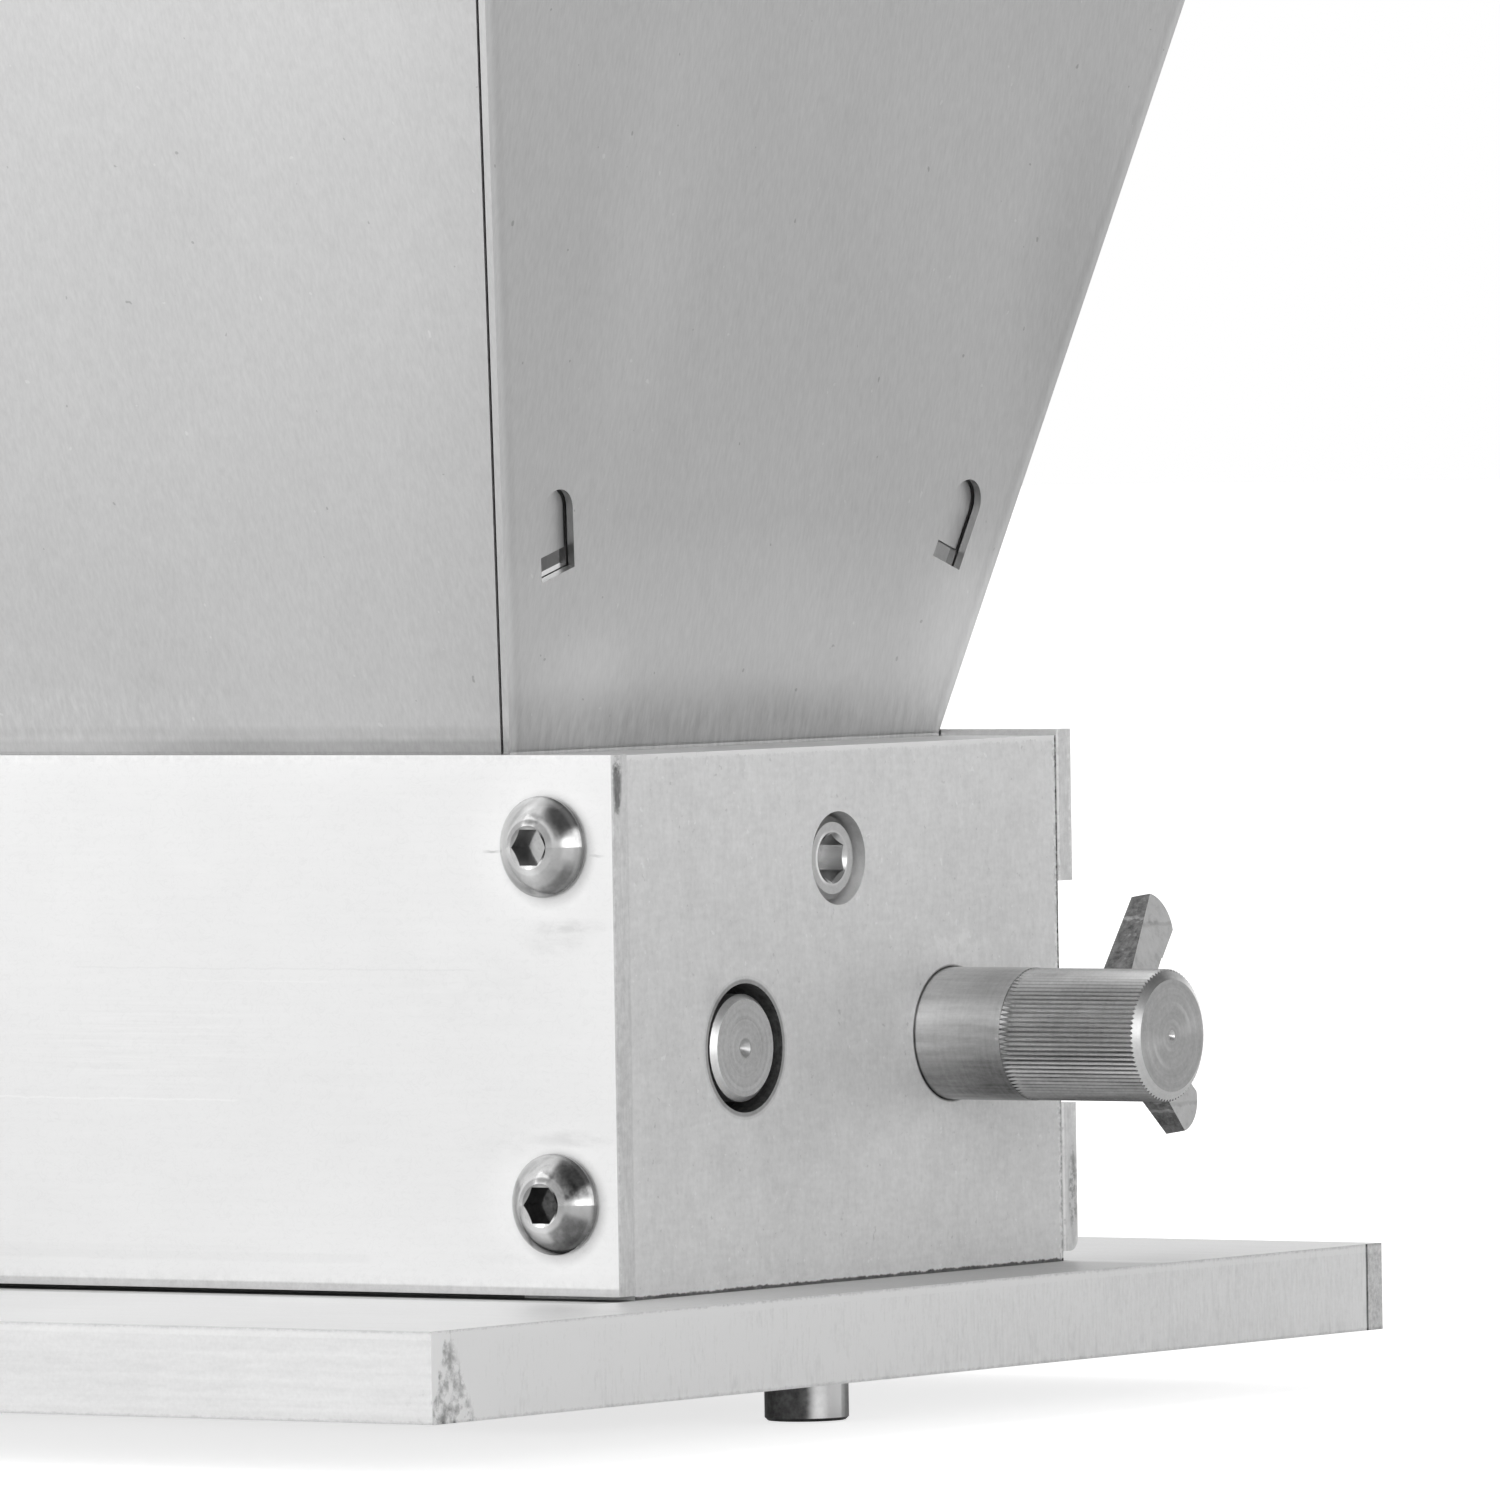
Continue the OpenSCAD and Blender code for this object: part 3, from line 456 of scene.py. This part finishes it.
def base_material():
    """Flat bar with rolled faces, sawn ends and one knocked corner."""
    m = Surface("base aluminium", 248)
    end = m.remap(m.absolute(m.nx), 0.7, 0.9)
    right = m.remap(m.nx, 0.7, 0.9)
    front = m.remap(m.absolute(m.ny), 0.7, 0.9)
    top = m.remap(m.nz, 0.7, 0.9)
    sides = m.math("MAXIMUM", end, front)
    m.grain(0.02, 0.03)

    # Slanted strokes of the saw on the ends.
    strokes = m.noise(m.object_mm(scale=(1, 1.3, 0.22), turn=(0.30, 0, 0)), 0.9, 5, 0.65)
    m.layer(m.vary(strokes, 0.02, 0.09), end)
    slant = m.noise(m.object_mm(scale=(1, 1.5, 0.30), turn=(0.42, 0, 0)), 1.5, 4, 0.6)
    m.layer(m.remap(slant, 0.32, 0.68, -0.05, 0.05), end)
    m.grain(0.03, 0.15, masks=(end,))

    # Rolling lines along the front and the top.
    rolled = m.noise(m.object_mm(scale=(0.012, 1, 1)), 0.5, 3, 0.55)
    m.layer(m.vary(rolled, -0.10, 0.03), front)
    short = m.noise(m.object_mm(scale=(0.15, 1, 1)), 1.2, 3, 0.6)
    m.layer(m.vary(short, -0.03, 0.03), front)
    top_grain = m.noise(m.object_mm(scale=(0.05, 1, 1)), 1.1, 4, 0.6)
    m.layer(m.vary(top_grain, -0.05, 0.01), top)

    # Painted shade on the top beside and under the body, and a painted shadow line along its front.
    m.layer(m.remap(m.x, 30, -10, 0.0, -0.10), top, m.remap(m.y, -44, -46))
    ledge = m.times(m.remap(m.y, -36, -12), m.remap(m.y, 44, 40))
    m.layer(m.remap(m.y, -20, 25, -0.10, -0.30), ledge, top, m.remap(m.x, 77, 79))
    m.layer(-0.11, top, m.remap(m.y, 42, 46))
    m.layer(-0.85, top, m.band(m.y, -45.4, 0.35, 0.45), m.remap(m.absolute(m.x), 79.0, 78.6))
    m.layer(-0.5, top, m.remap(m.x, 79.0, 78.6), m.remap(m.y, -46, -44), m.remap(m.y, 43, 42))

    # Uneven upper and lower edges.
    rough_edge = m.noise(m.object_mm(scale=(1, 1, 2)), 1.3, 4, 0.7)
    jag = m.vary(rough_edge, -0.5, 0.5)
    m.layer(-0.20, m.remap(m.plus(m.z, m.times(jag, 0.3)), 0.1, 0.4, 1.0, 0.0), sides)
    m.layer(-0.16, m.remap(m.plus(m.z, m.times(jag, 0.3)), 9.72, 9.92), sides)
    m.layer(0.06, m.band(m.z, 9.35, 0.2, 0.2), sides)

    # The knocked corner: a dented triangle between two slanting lines.
    fall = m.minus(9.9, m.z)
    left_side = m.plus(m.y, m.times(fall, NEAR_SLOPE))
    right_side = m.plus(m.y, m.times(fall, FAR_SLOPE))
    chips = m.noise(m.object_mm(), 0.55, 4, 0.65)
    fine = m.noise(m.object_mm(), 2.2, 3, 0.65)
    wave = m.vary(chips, -0.9, 0.9)
    knock = m.times(m.remap(m.plus(left_side, m.times(wave, 0.4)), -96.6, -96.1),
                   m.remap(m.plus(right_side, wave), -95.2, -96.0))
    m.layer(m.remap(chips, 0.42, 0.62, 0.03, -0.58), knock, right)
    m.layer(0.10, m.remap(left_side, -96.1, -96.5), right)

    # Chips beside the corner, and the scored line near the rear with painted shade on the strip
    # behind it.
    near = m.times(front, m.remap(m.x, 86, 92))
    m.layer(m.remap(chips, 0.55, 0.66, 0.0, -0.25), near, m.remap(m.z, 8, 3))
    m.layer(-0.80, m.band(m.y, 83.8, 0.14, 0.10), right)
    m.layer(m.vary(fine, -0.36, -0.14), m.remap(m.y, 83.8, 84.0), right)

    # A fine mottle all over, and wear along the edges of the ends.
    m.layer(m.vary(fine, -0.035, 0.035))
    m.layer(m.remap(chips, 0.50, 0.66, 0.0, -0.09), m.remap(m.z, 3.2, 0.4), end)
    m.layer(m.remap(fine, 0.50, 0.66, 0.0, -0.15), m.remap(m.z, 9.4, 9.8), end)

    # The ends lighten towards the front, and the top is shaded along the body.
    m.layer(m.remap(m.y, 40, -90, -0.03, 0.02), end)
    m.layer(-0.40, top, m.band(m.y, -45.5, 2.0, 3.5), m.remap(m.absolute(m.x), 79.0, 78.6))
    m.relief(strokes, 0.00004, 0.2)
    return m.done(0.45, 0.5)


def hopper_material():
    """Brushed sheet: very fine short streaks and soft smudges, with painted highlights, shade and
    reflections.
    """
    m = Surface("hopper sheet", 222)
    side = m.remap(m.absolute(m.nx), 0.6, 0.8)
    wide = m.remap(m.absolute(m.ny), 0.6, 0.8)
    m.grain(0.025, 0.014)
    m.grain(0.012, 0.06)
    streaks = m.noise(m.object_mm(scale=(1, 1, 0.14)), 2.4, 4, 0.65)
    m.layer(m.vary(streaks, -0.05, 0.05))
    mottle = m.noise(m.object_mm(scale=(1, 1, 0.5)), 0.6, 5, 0.65)
    m.layer(m.vary(mottle, -0.022, 0.022))

    # Bright and dark specks.
    dots = m.noise(m.object_mm(centre=(4, 4, 4)), 0.8, 1, 0.4)
    m.layer(m.remap(dots, 0.79, 0.81, 0.0, 0.12))
    m.layer(m.remap(dots, 0.205, 0.19, 0.0, -0.25))

    # inset is the distance from a slanted edge: a painted highlight along it on the side panels, with
    # a faint dark line beside it; the wide ones are darker near their edges.
    rise = m.minus(m.z, THROAT_Z)
    half = m.plus(m.times(rise, FRONT_SLOPE), THROAT_Y)
    inset = m.minus(half, m.absolute(m.y))
    m.layer(0.11, m.remap(inset, 1.3, 0.7), side)
    m.layer(-0.04, m.band(inset, 2.0, 0.3, 0.5), side)
    half_x = m.plus(m.times(rise, SIDE_SLOPE), THROAT_X)
    inset_x = m.minus(half_x, m.absolute(m.x))
    m.layer(-0.06, m.remap(inset_x, 14, 1), wide)

    # Streaks and changes of tone towards the throat.
    low_streak = m.noise(m.object_mm(scale=(1, 1, 0.06)), 1.1, 4, 0.65)
    m.layer(m.remap(low_streak, 0.35, 0.65, 0.05, -0.11), m.remap(m.z, 77, 73), side)
    m.layer(m.remap(m.z, 96, 78, 0.0, 0.17), side)
    m.layer(0.12, m.spot(m.y, m.z, (-30.0, 77.0), (14, 9), 0.9), side)
    m.layer(m.remap(low_streak, 0.45, 0.65, 0.0, 0.09), m.band(m.z, 74.5, 1.2, 2.6), wide,
            m.remap(m.x, 30, 5, 0.25, 1.0))
    # Painted shade low on the wide panels, just above the throat.
    near_left = m.remap(m.x, 5, 25, 0.7, 1.0)
    m.layer(m.remap(m.z, 73.4, 72.0, 0.0, -0.24), wide, near_left)
    m.layer(m.remap(m.z, 72.0, 71.4, 0.0, -0.18), wide, near_left)
    # Painted reflection darkens the wide panels downward; painted shade darkens the side panels.
    m.layer(m.remap(m.z, 150, 75, 0.03, -0.10), wide)
    m.layer(-0.10, side)

    # Soft reflections on the side panels.
    m.layer(0.16, m.spot(m.y, m.z, (44.0, 83.0), (16, 13), 0.95), side)
    m.layer(-0.10, m.spot(m.y, m.z, (54.0, 122.0), (16, 34), 0.95), side)
    m.layer(0.05, m.spot(m.y, m.z, (-30.0, 120.0), (14, 40), 0.95), side)

    # The hooks' bent walls get painted shade and their feet a painted highlight.
    wall = m.times(m.remap(m.absolute(m.nx), 0.55, 0.35), m.remap(m.ny, -0.2, -0.5))
    hooks = m.times(wall, m.remap(inset, 2.5, 4.0))
    m.layer(-0.36, hooks)
    foot = m.times(m.remap(m.absolute(m.nx), 0.55, 0.35), m.remap(m.nz, 0.5, 0.8))
    m.layer(0.25, foot)
    m.relief(streaks, FINE_RELIEF, 0.3)
    return m.done(m.vary(mottle, 0.35, 0.40))


def button_material():
    """Polished button heads with spun finish: painted reflections in bright and dark sectors, and a
    socket in painted shade.
    """
    m = Surface("button steel", 196)
    m.grain(0.05, 0.8, detail=4)
    fine = m.grain(0.04, 2.4, detail=3)
    blots = m.noise(m.object_mm(), 0.9, 4, 0.65)
    side = m.math("SIGN", m.x)
    height = m.absolute(m.y)
    head = m.remap(height, 45.5, 46.0)
    for centre, rows in ((UPPER_SCREW, UPPER_REFLECTIONS), (LOWER_SCREW, LOWER_REFLECTIONS)):
        dx = m.minus(m.x, m.times(side, centre[0]))
        away, angle = m.polar(dx, m.z, (0.0, centre[1]))
        near = m.remap(away, 9.0, 8.0)
        degrees = m.times(angle, DEGREES)
        # Each row paints a reflection into a sector of the head.
        for low, high, soft, inner, outer, amount in rows:
            turn = m.times(m.remap(degrees, low - soft, low, smooth=True),
                          m.remap(degrees, high + soft, high, smooth=True))
            ring = m.times(m.remap(away, inner, inner + 0.5, smooth=True),
                          m.remap(away, outer + 0.4, outer, smooth=True))
            m.layer(m.remap(blots, 0.3, 0.6, 0.7 * amount, 1.1 * amount), turn, ring, head)

        # The hexagonal socket in painted shade, painted shade and light round its rim, and painted
        # shade at the head's edge.
        dz = m.minus(m.z, centre[1])
        wide = m.times(dx, SIN_60)
        tall = m.times(dz, COS_60)
        flats = m.math("MAXIMUM", m.absolute(m.plus(wide, tall)),
                       m.absolute(m.minus(wide, tall)))
        flats = m.math("MAXIMUM", flats, m.absolute(dz))
        socket = m.remap(flats, SOCKET_FLATS / 2 + 0.06, SOCKET_FLATS / 2 - 0.02)
        socket_shade = m.remap(dx, -1.7, -0.3, -0.74, -0.36) if centre == UPPER_SCREW else -0.93
        m.layer(socket_shade, socket)
        m.layer(-0.42, m.spot(dx, dz, (0.3, 3.1), (1.5, 0.9), 0.6), near, head)
        rim = m.times(m.band(away, 2.6, 0.35, 0.3), m.minus(1.0, socket))
        m.layer(m.remap(dz, -1.5, 1.0, 0.20, -0.40), rim, head)
        m.layer(m.remap(away, 3.0, 5.0, 0.06, -0.04), near, head)
        m.layer(-0.45, m.remap(away, 5.35, 5.6), near)
    m.relief(fine, FINE_RELIEF, 0.3)
    return m.done(0.15)


def socket_material():
    """A cap head sunk in its counterbore: painted highlights on the rim and in the socket, painted
    shade deep in it.
    """
    m = Surface("cap screw steel", 214)
    axis_y, axis_z = TIE_ROD_AXIS
    fine = m.grain(0.05, 1.6, detail=4)
    away = m.polar(m.y, m.z, TIE_ROD_AXIS)[0]
    end_x = m.absolute(m.x)
    # Painted shade deep in the socket and a dark ring; painted highlights on one side of the rim and
    # high in the socket.
    m.layer(-0.20, m.remap(away, 2.75, 2.6), m.remap(end_x, 77.45, 77.1))
    m.layer(-0.16, m.band(away, 3.7, 0.45, 0.3))
    m.layer(0.55, m.band(away, 2.75, 0.35, 0.25), m.remap(m.y, axis_y - 1.0, axis_y - 2.2))
    m.layer(0.25, m.remap(away, 2.5, 2.3), m.remap(m.z, axis_z - 1.0, axis_z + 1.0))
    m.relief(fine, FINE_RELIEF, 0.3)
    return m.done(0.2)


def turned_material(name, level, centre, contrast, ring):
    """Turned steel: rings round the X axis through centre, and a finely marked skin."""
    m = Surface(name, level)
    radius, angle = m.polar(m.y, m.z, centre)
    rings = m.add("ShaderNodeCombineXYZ")
    m.put(rings.inputs[0], m.times(m.x, 0.6))
    m.put(rings.inputs[1], radius)
    lines = m.noise(rings.outputs[0], 1.0 / ring, 3, 0.6)
    m.layer(m.vary(lines, -contrast, contrast))
    skin = m.noise(m.object_mm(), 2.0, 4, 0.7)
    m.layer(m.vary(skin, -0.07, 0.07))
    m.grain(0.04, 0.35)
    m.relief(lines, FINE_RELIEF, 0.5)
    m.relief(skin, FINE_RELIEF, 0.3)
    return m, radius, angle, skin


def shaft_material():
    """The drive shaft, with turned arcs and a centre mark on its end."""
    m, radius, angle = turned_material("drive steel", 244, DRIVE_AXIS, 0.06, 0.45)[:3]
    end = m.remap(m.absolute(m.nx), 0.85, 0.95)
    for ring, amount in ((1.1, -0.10), (2.3, 0.07), (3.4, -0.08), (4.6, 0.06)):
        arc = m.remap(m.math("SINE", m.plus(angle, ring * 2.0)), -0.6, 0.8)
        m.layer(amount, m.band(radius, ring, 0.10, 0.16), arc, end)
    m.layer(-0.36, end)
    m.layer(-0.30, m.remap(radius, 1.15, 0.95))
    return m.done(0.40, m.remap(end, 0.0, 1.0, 1.0, 0.2))


def knob_material():
    """The adjuster knob: plain neck, knurled barrel, bevel and turned end, with painted light, shade
    and sheen.
    """
    m, radius, angle, skin = turned_material("knob steel", 202, KNOB_AXIS, 0.05, 0.3)
    end = m.remap(m.absolute(m.nx), 0.85, 0.95)
    m.layer(-0.24, end)
    # Painted sheen on the end face: rings lit and shaded in two opposite arcs.
    for ring, amount in ((1.6, 0.10), (2.9, -0.05), (3.6, 0.16), (4.7, 0.08), (5.4, -0.06)):
        arc = m.remap(m.absolute(m.math("SINE", m.plus(angle, 1.9 + 0.15 * ring))), 0.75, 0.15)
        m.layer(amount, m.band(radius, ring, 0.12, 0.25), arc, end)

    # The round side: painted shade below, a painted highlight line and a painted dark line along the
    # front, and painted light towards the block.
    turned = m.remap(m.absolute(m.nx), 0.3, 0.2)
    front_half = m.remap(m.ny, 0.3, -0.1)
    front_side = m.remap(m.y, KNOB_Y, KNOB_Y - 2.0)
    m.layer(m.remap(m.nz, 0.1, -0.7, 0.0, -0.66), turned)
    m.layer(0.24, m.band(m.nz, 0.37, 0.07, 0.14), front_half, turned)
    m.layer(-0.10, m.band(m.nz, 0.02, 0.06, 0.14), front_half, turned)
    m.layer(0.28, m.remap(m.absolute(m.x), 87.0, 79.5), front_half, turned)

    # A painted highlight on the bevel at the end with painted shade on its upper front, and a
    # painted sheen wedge on the end face.
    chamfer = m.times(m.remap(m.absolute(m.nx), 0.3, 0.5),
                     m.remap(m.absolute(m.nx), 0.97, 0.9))
    m.layer(0.36, chamfer)
    upper_front = m.times(m.remap(m.z, AXIS_Z + 4.5, AXIS_Z + 6.4),
                          m.remap(m.y, KNOB_Y + 6.0, KNOB_Y + 3.0))
    m.layer(-0.62, chamfer, upper_front)
    wedge = m.remap(m.absolute(m.math("SINE", m.plus(angle, 2.9))), 0.5, 0.0, smooth=True)
    m.layer(0.13, wedge, m.band(radius, 4.0, 1.8, 1.4), end)

    # The knurl: painted shade in its grooves and along its lower side, with a painted highlight
    # band along the middle.
    jag = m.vary(skin, -1.2, 1.2)
    knurl = m.times(m.remap(m.plus(m.absolute(m.x), jag), 89.9, 91.6),
                   m.remap(radius, 6.95, 7.1))
    knurl = m.times(knurl, m.minus(1.0, chamfer))
    groove = m.math("COSINE", m.times(angle, KNURL_TEETH))
    rise = m.math("SINE", angle)
    middle = m.times(m.band(rise, 0.13, 0.24, 0.26), front_side)
    m.layer(0.42, middle, knurl)
    m.layer(m.remap(groove, 0.0, 0.85, 0.10, -0.36), knurl)
    m.layer(-0.16, m.band(rise, -0.62, 0.2, 0.2), knurl)

    # Fine lines along the round side, and painted shade at its foot by the block.
    long_line = m.noise(m.object_mm(scale=(0.1, 1, 1)), 1.1, 3, 0.6)
    m.layer(m.vary(long_line, -0.12, 0.12), turned)
    m.layer(-0.3, m.remap(m.absolute(m.x), 78.75, 78.6))
    return m.done(0.30)


def wing_material():
    """Cast wings: scaly edges in painted shade with rubbed patches and a painted highlight line, and
    pale flats.
    """
    m = Surface("wing steel", 204)
    lumps = m.grain(0.08, 0.7, detail=4)
    fine = m.noise(m.object_mm(), 1.6, 4, 0.7)
    flat = m.remap(m.absolute(m.facing((0.988, 0, 0.156))), 0.75, 0.93)
    edge = m.minus(1.0, flat)
    # The edges get painted shade, mottled like scale.
    m.layer(m.vary(fine, -0.82, -0.55), edge)
    rub = m.noise(m.object_mm(scale=(1, 1, 2.4), turn=(0, 0.3, 0)), 0.5, 3, 0.6)
    m.layer(m.remap(rub, 0.58, 0.70, 0.0, 0.26), edge)
    m.layer(m.remap(lumps, 0.3, 0.45, -0.12, 0.0), flat)
    out = m.plus(m.absolute(m.minus(m.z, AXIS_Z)), m.vary(lumps, -0.2, 0.2))
    # A painted highlight line along the wings' outer edges, and a dark line on the flats beside it.
    m.layer(0.26, m.band(out, 11.2, 0.07, 0.15), edge)
    m.layer(-0.16, m.band(out, 10.4, 0.10, 0.25), flat)
    m.relief(fine, 0.00010, 0.5)
    return m.done(0.36, m.remap(flat, 0.0, 1.0, 1.0, 0.5))


def cast_material(name, level, rough, pit):
    """Plain metal with fine pits; pit is their contrast."""
    m = Surface(name, level)
    lumps = m.grain(pit, 0.9)
    m.relief(lumps, 0.0001)
    return m.done(rough)


def base_screw_material():
    """A dark cap head with a painted highlight streaking down its side, and a lighter end."""
    m = Surface("base screw steel", 190)
    fine = m.grain(0.10, 1.3)
    m.layer(-0.78)
    m.layer(0.5, m.remap(m.nz, -0.8, -0.95))
    # Painted highlights on the sides that face these directions.
    for aim, amount in (((0.93, -0.37, 0), 1.35), ((0.99, 0.1, 0), 0.60), ((0.30, -0.95, 0), 0.06)):
        m.layer(amount, m.remap(m.facing(aim), 0.82, 0.97, smooth=True))
    m.relief(fine, FINE_RELIEF, 0.3)
    return m.done(0.28)


def roller_material():
    """Diamond knurl, cut by two families of helical grooves."""
    m = Surface("roller steel", 205)
    back = m.math("GREATER_THAN", m.y, 0.0)
    turns = []
    for centre in (IDLER_AXIS, DRIVE_AXIS):
        turns.append(m.times(m.polar(m.y, m.z, centre)[1], ROLLER_RADIUS))
    turn = m.plus(m.times(back, turns[0]),
                  m.times(m.minus(1.0, back), turns[1]))
    height = None
    for sign in (1.0, -1.0):
        phase = m.times(m.plus(turn, m.times(m.x, GROOVE_LEAN * sign)), GROOVE_PHASE)
        wave = m.absolute(m.math("SINE", phase))
        height = wave if height is None else m.math("MINIMUM", height, wave)
    # Painted shade in the grooves.
    m.layer(m.remap(height, 0.0, 0.6, -0.3, 0.1))
    m.relief(height, 0.0004, 0.8)
    return m.done(0.4)


def grip_material():
    """Grained black plastic."""
    m = Surface("grip plastic", 60)
    leather = m.cells(m.object_mm(), 1.4)
    m.grain(0.1, 0.08)
    m.relief(leather, 0.00012, 0.4)
    return m.done(0.45, 0.0)


def dress(names, material):
    """Puts one material on the named nodes."""
    for name in names:
        obj = nodes[name]
        obj.data.materials.clear()
        obj.data.materials.append(material)
        for poly in obj.data.polygons:
            poly.material_index = 0


def soften(names, width):
    """A fine bevel, so that the edges catch light."""
    for name in names:
        mod = nodes[name].modifiers.new("edge", "BEVEL")
        mod.width = width
        mod.segments = 2
        mod.limit_method = "ANGLE"
        mod.angle_limit = math.radians(BEVEL_ANGLE)
        mod.harden_normals = False


dress(["base_plate"], base_material())
dress(["end_block_right", "end_block_left"], block_material())
dress(["front_plate", "rear_plate"], plate_material())
dress(["hopper_front_panel", "hopper_rear_panel", "hopper_right_panel", "hopper_left_panel"],
      hopper_material())
dress(["front_plate_screws", "rear_plate_screws"], button_material())
dress(["tie_rod_screws"], socket_material())
dress(["base_screws"], base_screw_material())
dress(["drive_shaft"], shaft_material())
dress(["tie_rod", "grip_bolt"], cast_material("rod steel", 190, 0.3, 0.04))
dress(["idler_shaft"], cast_material("idler steel", 190, 0.3, 0.04))
dress(["drive_roller", "idler_roller"], roller_material())
dress(["adjuster_knob_right", "adjuster_knob_left"], knob_material())
dress(["wing_screw_right", "wing_screw_left"], wing_material())
dress(["crank_set_screw"], cast_material("black steel", 80, 0.4, 0.05))
dress(["drive_bushing_right", "drive_bushing_left", "thrust_washers"],
      cast_material("sintered bronze", 60, 0.55, 0.15))
dress(["crank_arm"], cast_material("crank zinc", 200, 0.35, 0.05))
dress(["crank_grip"], grip_material())
soften(["base_plate", "end_block_right", "end_block_left", "front_plate", "rear_plate"], PLATE_BEVEL)
soften(["wing_screw_right", "wing_screw_left"], WING_BEVEL)


# ---------------------------------------------------------------- light, floor and camera

AMBIENT = 0.92
WHITE = (1, 1, 1, 1)

# Each lobe: direction, cosines where it starts and is full, and change of brightness.
LOBES = (
    ((-1.0, 0.0, 0.0), -0.3, 0.6, 0.20),
    ((0.60, 0.0, 0.80), 0.45, 0.72, -0.70),
    ((0.90, -0.42, 0.05), 0.82, 0.95, 1.60),
)

# The floor: its grey, and in metres its gap below the object and its half width.
FLOOR = 0.8
FLOOR_GAP = 0.0002
FLOOR_HALF = 14.0

# Its glow as the camera sees it, and as metal reflects it: everywhere, and more at the
# front and at the left.
GLOW_CAMERA = 0.74
GLOW_BASE = 0.06
GLOW_FRONT = 0.10
GLOW_LEFT = 0.50

# The lamp: place, aim and size in metres, and power in watts.
LAMP_PLACE = (-1.38, -1.46, 1.40)
LAMP_AIM = (0, 0, 0.1)
LAMP_SIZE = (1.2, 1.0)
LAMP_POWER = 6


def make_world():
    """A pale studio: brightest low at the right, a little bright at the left, dim above right."""
    world = bpy.data.worlds.new("studio")
    bpy.context.scene.world = world
    w = Tree(world)
    out = w.add("ShaderNodeOutputWorld")
    back = w.add("ShaderNodeBackground")
    back.inputs["Color"].default_value = WHITE
    coord = w.add("ShaderNodeTexCoord")
    level = AMBIENT
    for direction, low, high, amount in LOBES:
        cosine = w.dot(coord.outputs["Generated"], direction)
        level = w.plus(w.remap(cosine, low, high, 0.0, amount, smooth=True), level)
    path = w.add("ShaderNodeLightPath")
    pick = w.add("ShaderNodeMix")
    w.link(path.outputs["Is Camera Ray"], pick.inputs["Factor"])
    w.link(level, pick.inputs["A"])
    pick.inputs["B"].default_value = 1.0
    w.link(pick.outputs["Result"], back.inputs["Strength"])
    w.link(back.outputs[0], out.inputs["Surface"])


def make_floor():
    """A white floor that holds the shadow; metal sees it brightest at the front left."""
    z = cad_low[2] - FLOOR_GAP
    corners = [(x * FLOOR_HALF, y * FLOOR_HALF, z) for x, y in ((-1, -1), (1, -1), (1, 1), (-1, 1))]
    mesh = bpy.data.meshes.new("floor")
    mesh.from_pydata(corners, [], [(0, 1, 2, 3)])
    floor = bpy.data.objects.new("floor", mesh)
    bpy.context.collection.objects.link(floor)
    mat = bpy.data.materials.new("floor")
    f = Tree(mat)
    out = f.add("ShaderNodeOutputMaterial")
    diffuse = f.add("ShaderNodeBsdfDiffuse")
    diffuse.inputs["Color"].default_value = (FLOOR, FLOOR, FLOOR, 1)
    glow = f.add("ShaderNodeEmission")
    glow.inputs["Color"].default_value = WHITE
    path = f.add("ShaderNodeLightPath")
    coord = f.add("ShaderNodeTexCoord")
    place = f.axes(coord.outputs["Object"])
    front = f.remap(place[1], 0.15, -0.25, 0.0, GLOW_FRONT, smooth=True)
    left = f.remap(place[0], -0.05, -0.7, 0.0, GLOW_LEFT, smooth=True)
    glow_metal = f.plus(f.plus(front, left), GLOW_BASE)
    metal = f.times(glow_metal, path.outputs["Is Glossy Ray"])
    seen = f.times(path.outputs["Is Camera Ray"], GLOW_CAMERA)
    f.link(f.plus(metal, seen), glow.inputs["Strength"])
    both = f.add("ShaderNodeAddShader")
    f.link(diffuse.outputs[0], both.inputs[0])
    f.link(glow.outputs[0], both.inputs[1])
    f.link(both.outputs[0], out.inputs["Surface"])
    mesh.materials.append(mat)


def area_light(name, place, aim, size, power):
    data = bpy.data.lights.new(name, "AREA")
    data.shape = "RECTANGLE"
    data.size, data.size_y = size
    data.energy = power
    light = bpy.data.objects.new(name, data)
    bpy.context.collection.objects.link(light)
    light.location = place
    light.rotation_euler = (Vector(aim) - Vector(place)).to_track_quat("-Z", "Y").to_euler()


make_world()
make_floor()
area_light("front softbox", LAMP_PLACE, LAMP_AIM, LAMP_SIZE, LAMP_POWER)
make_camera()
bpy.context.scene.view_settings.view_transform = "Standard"
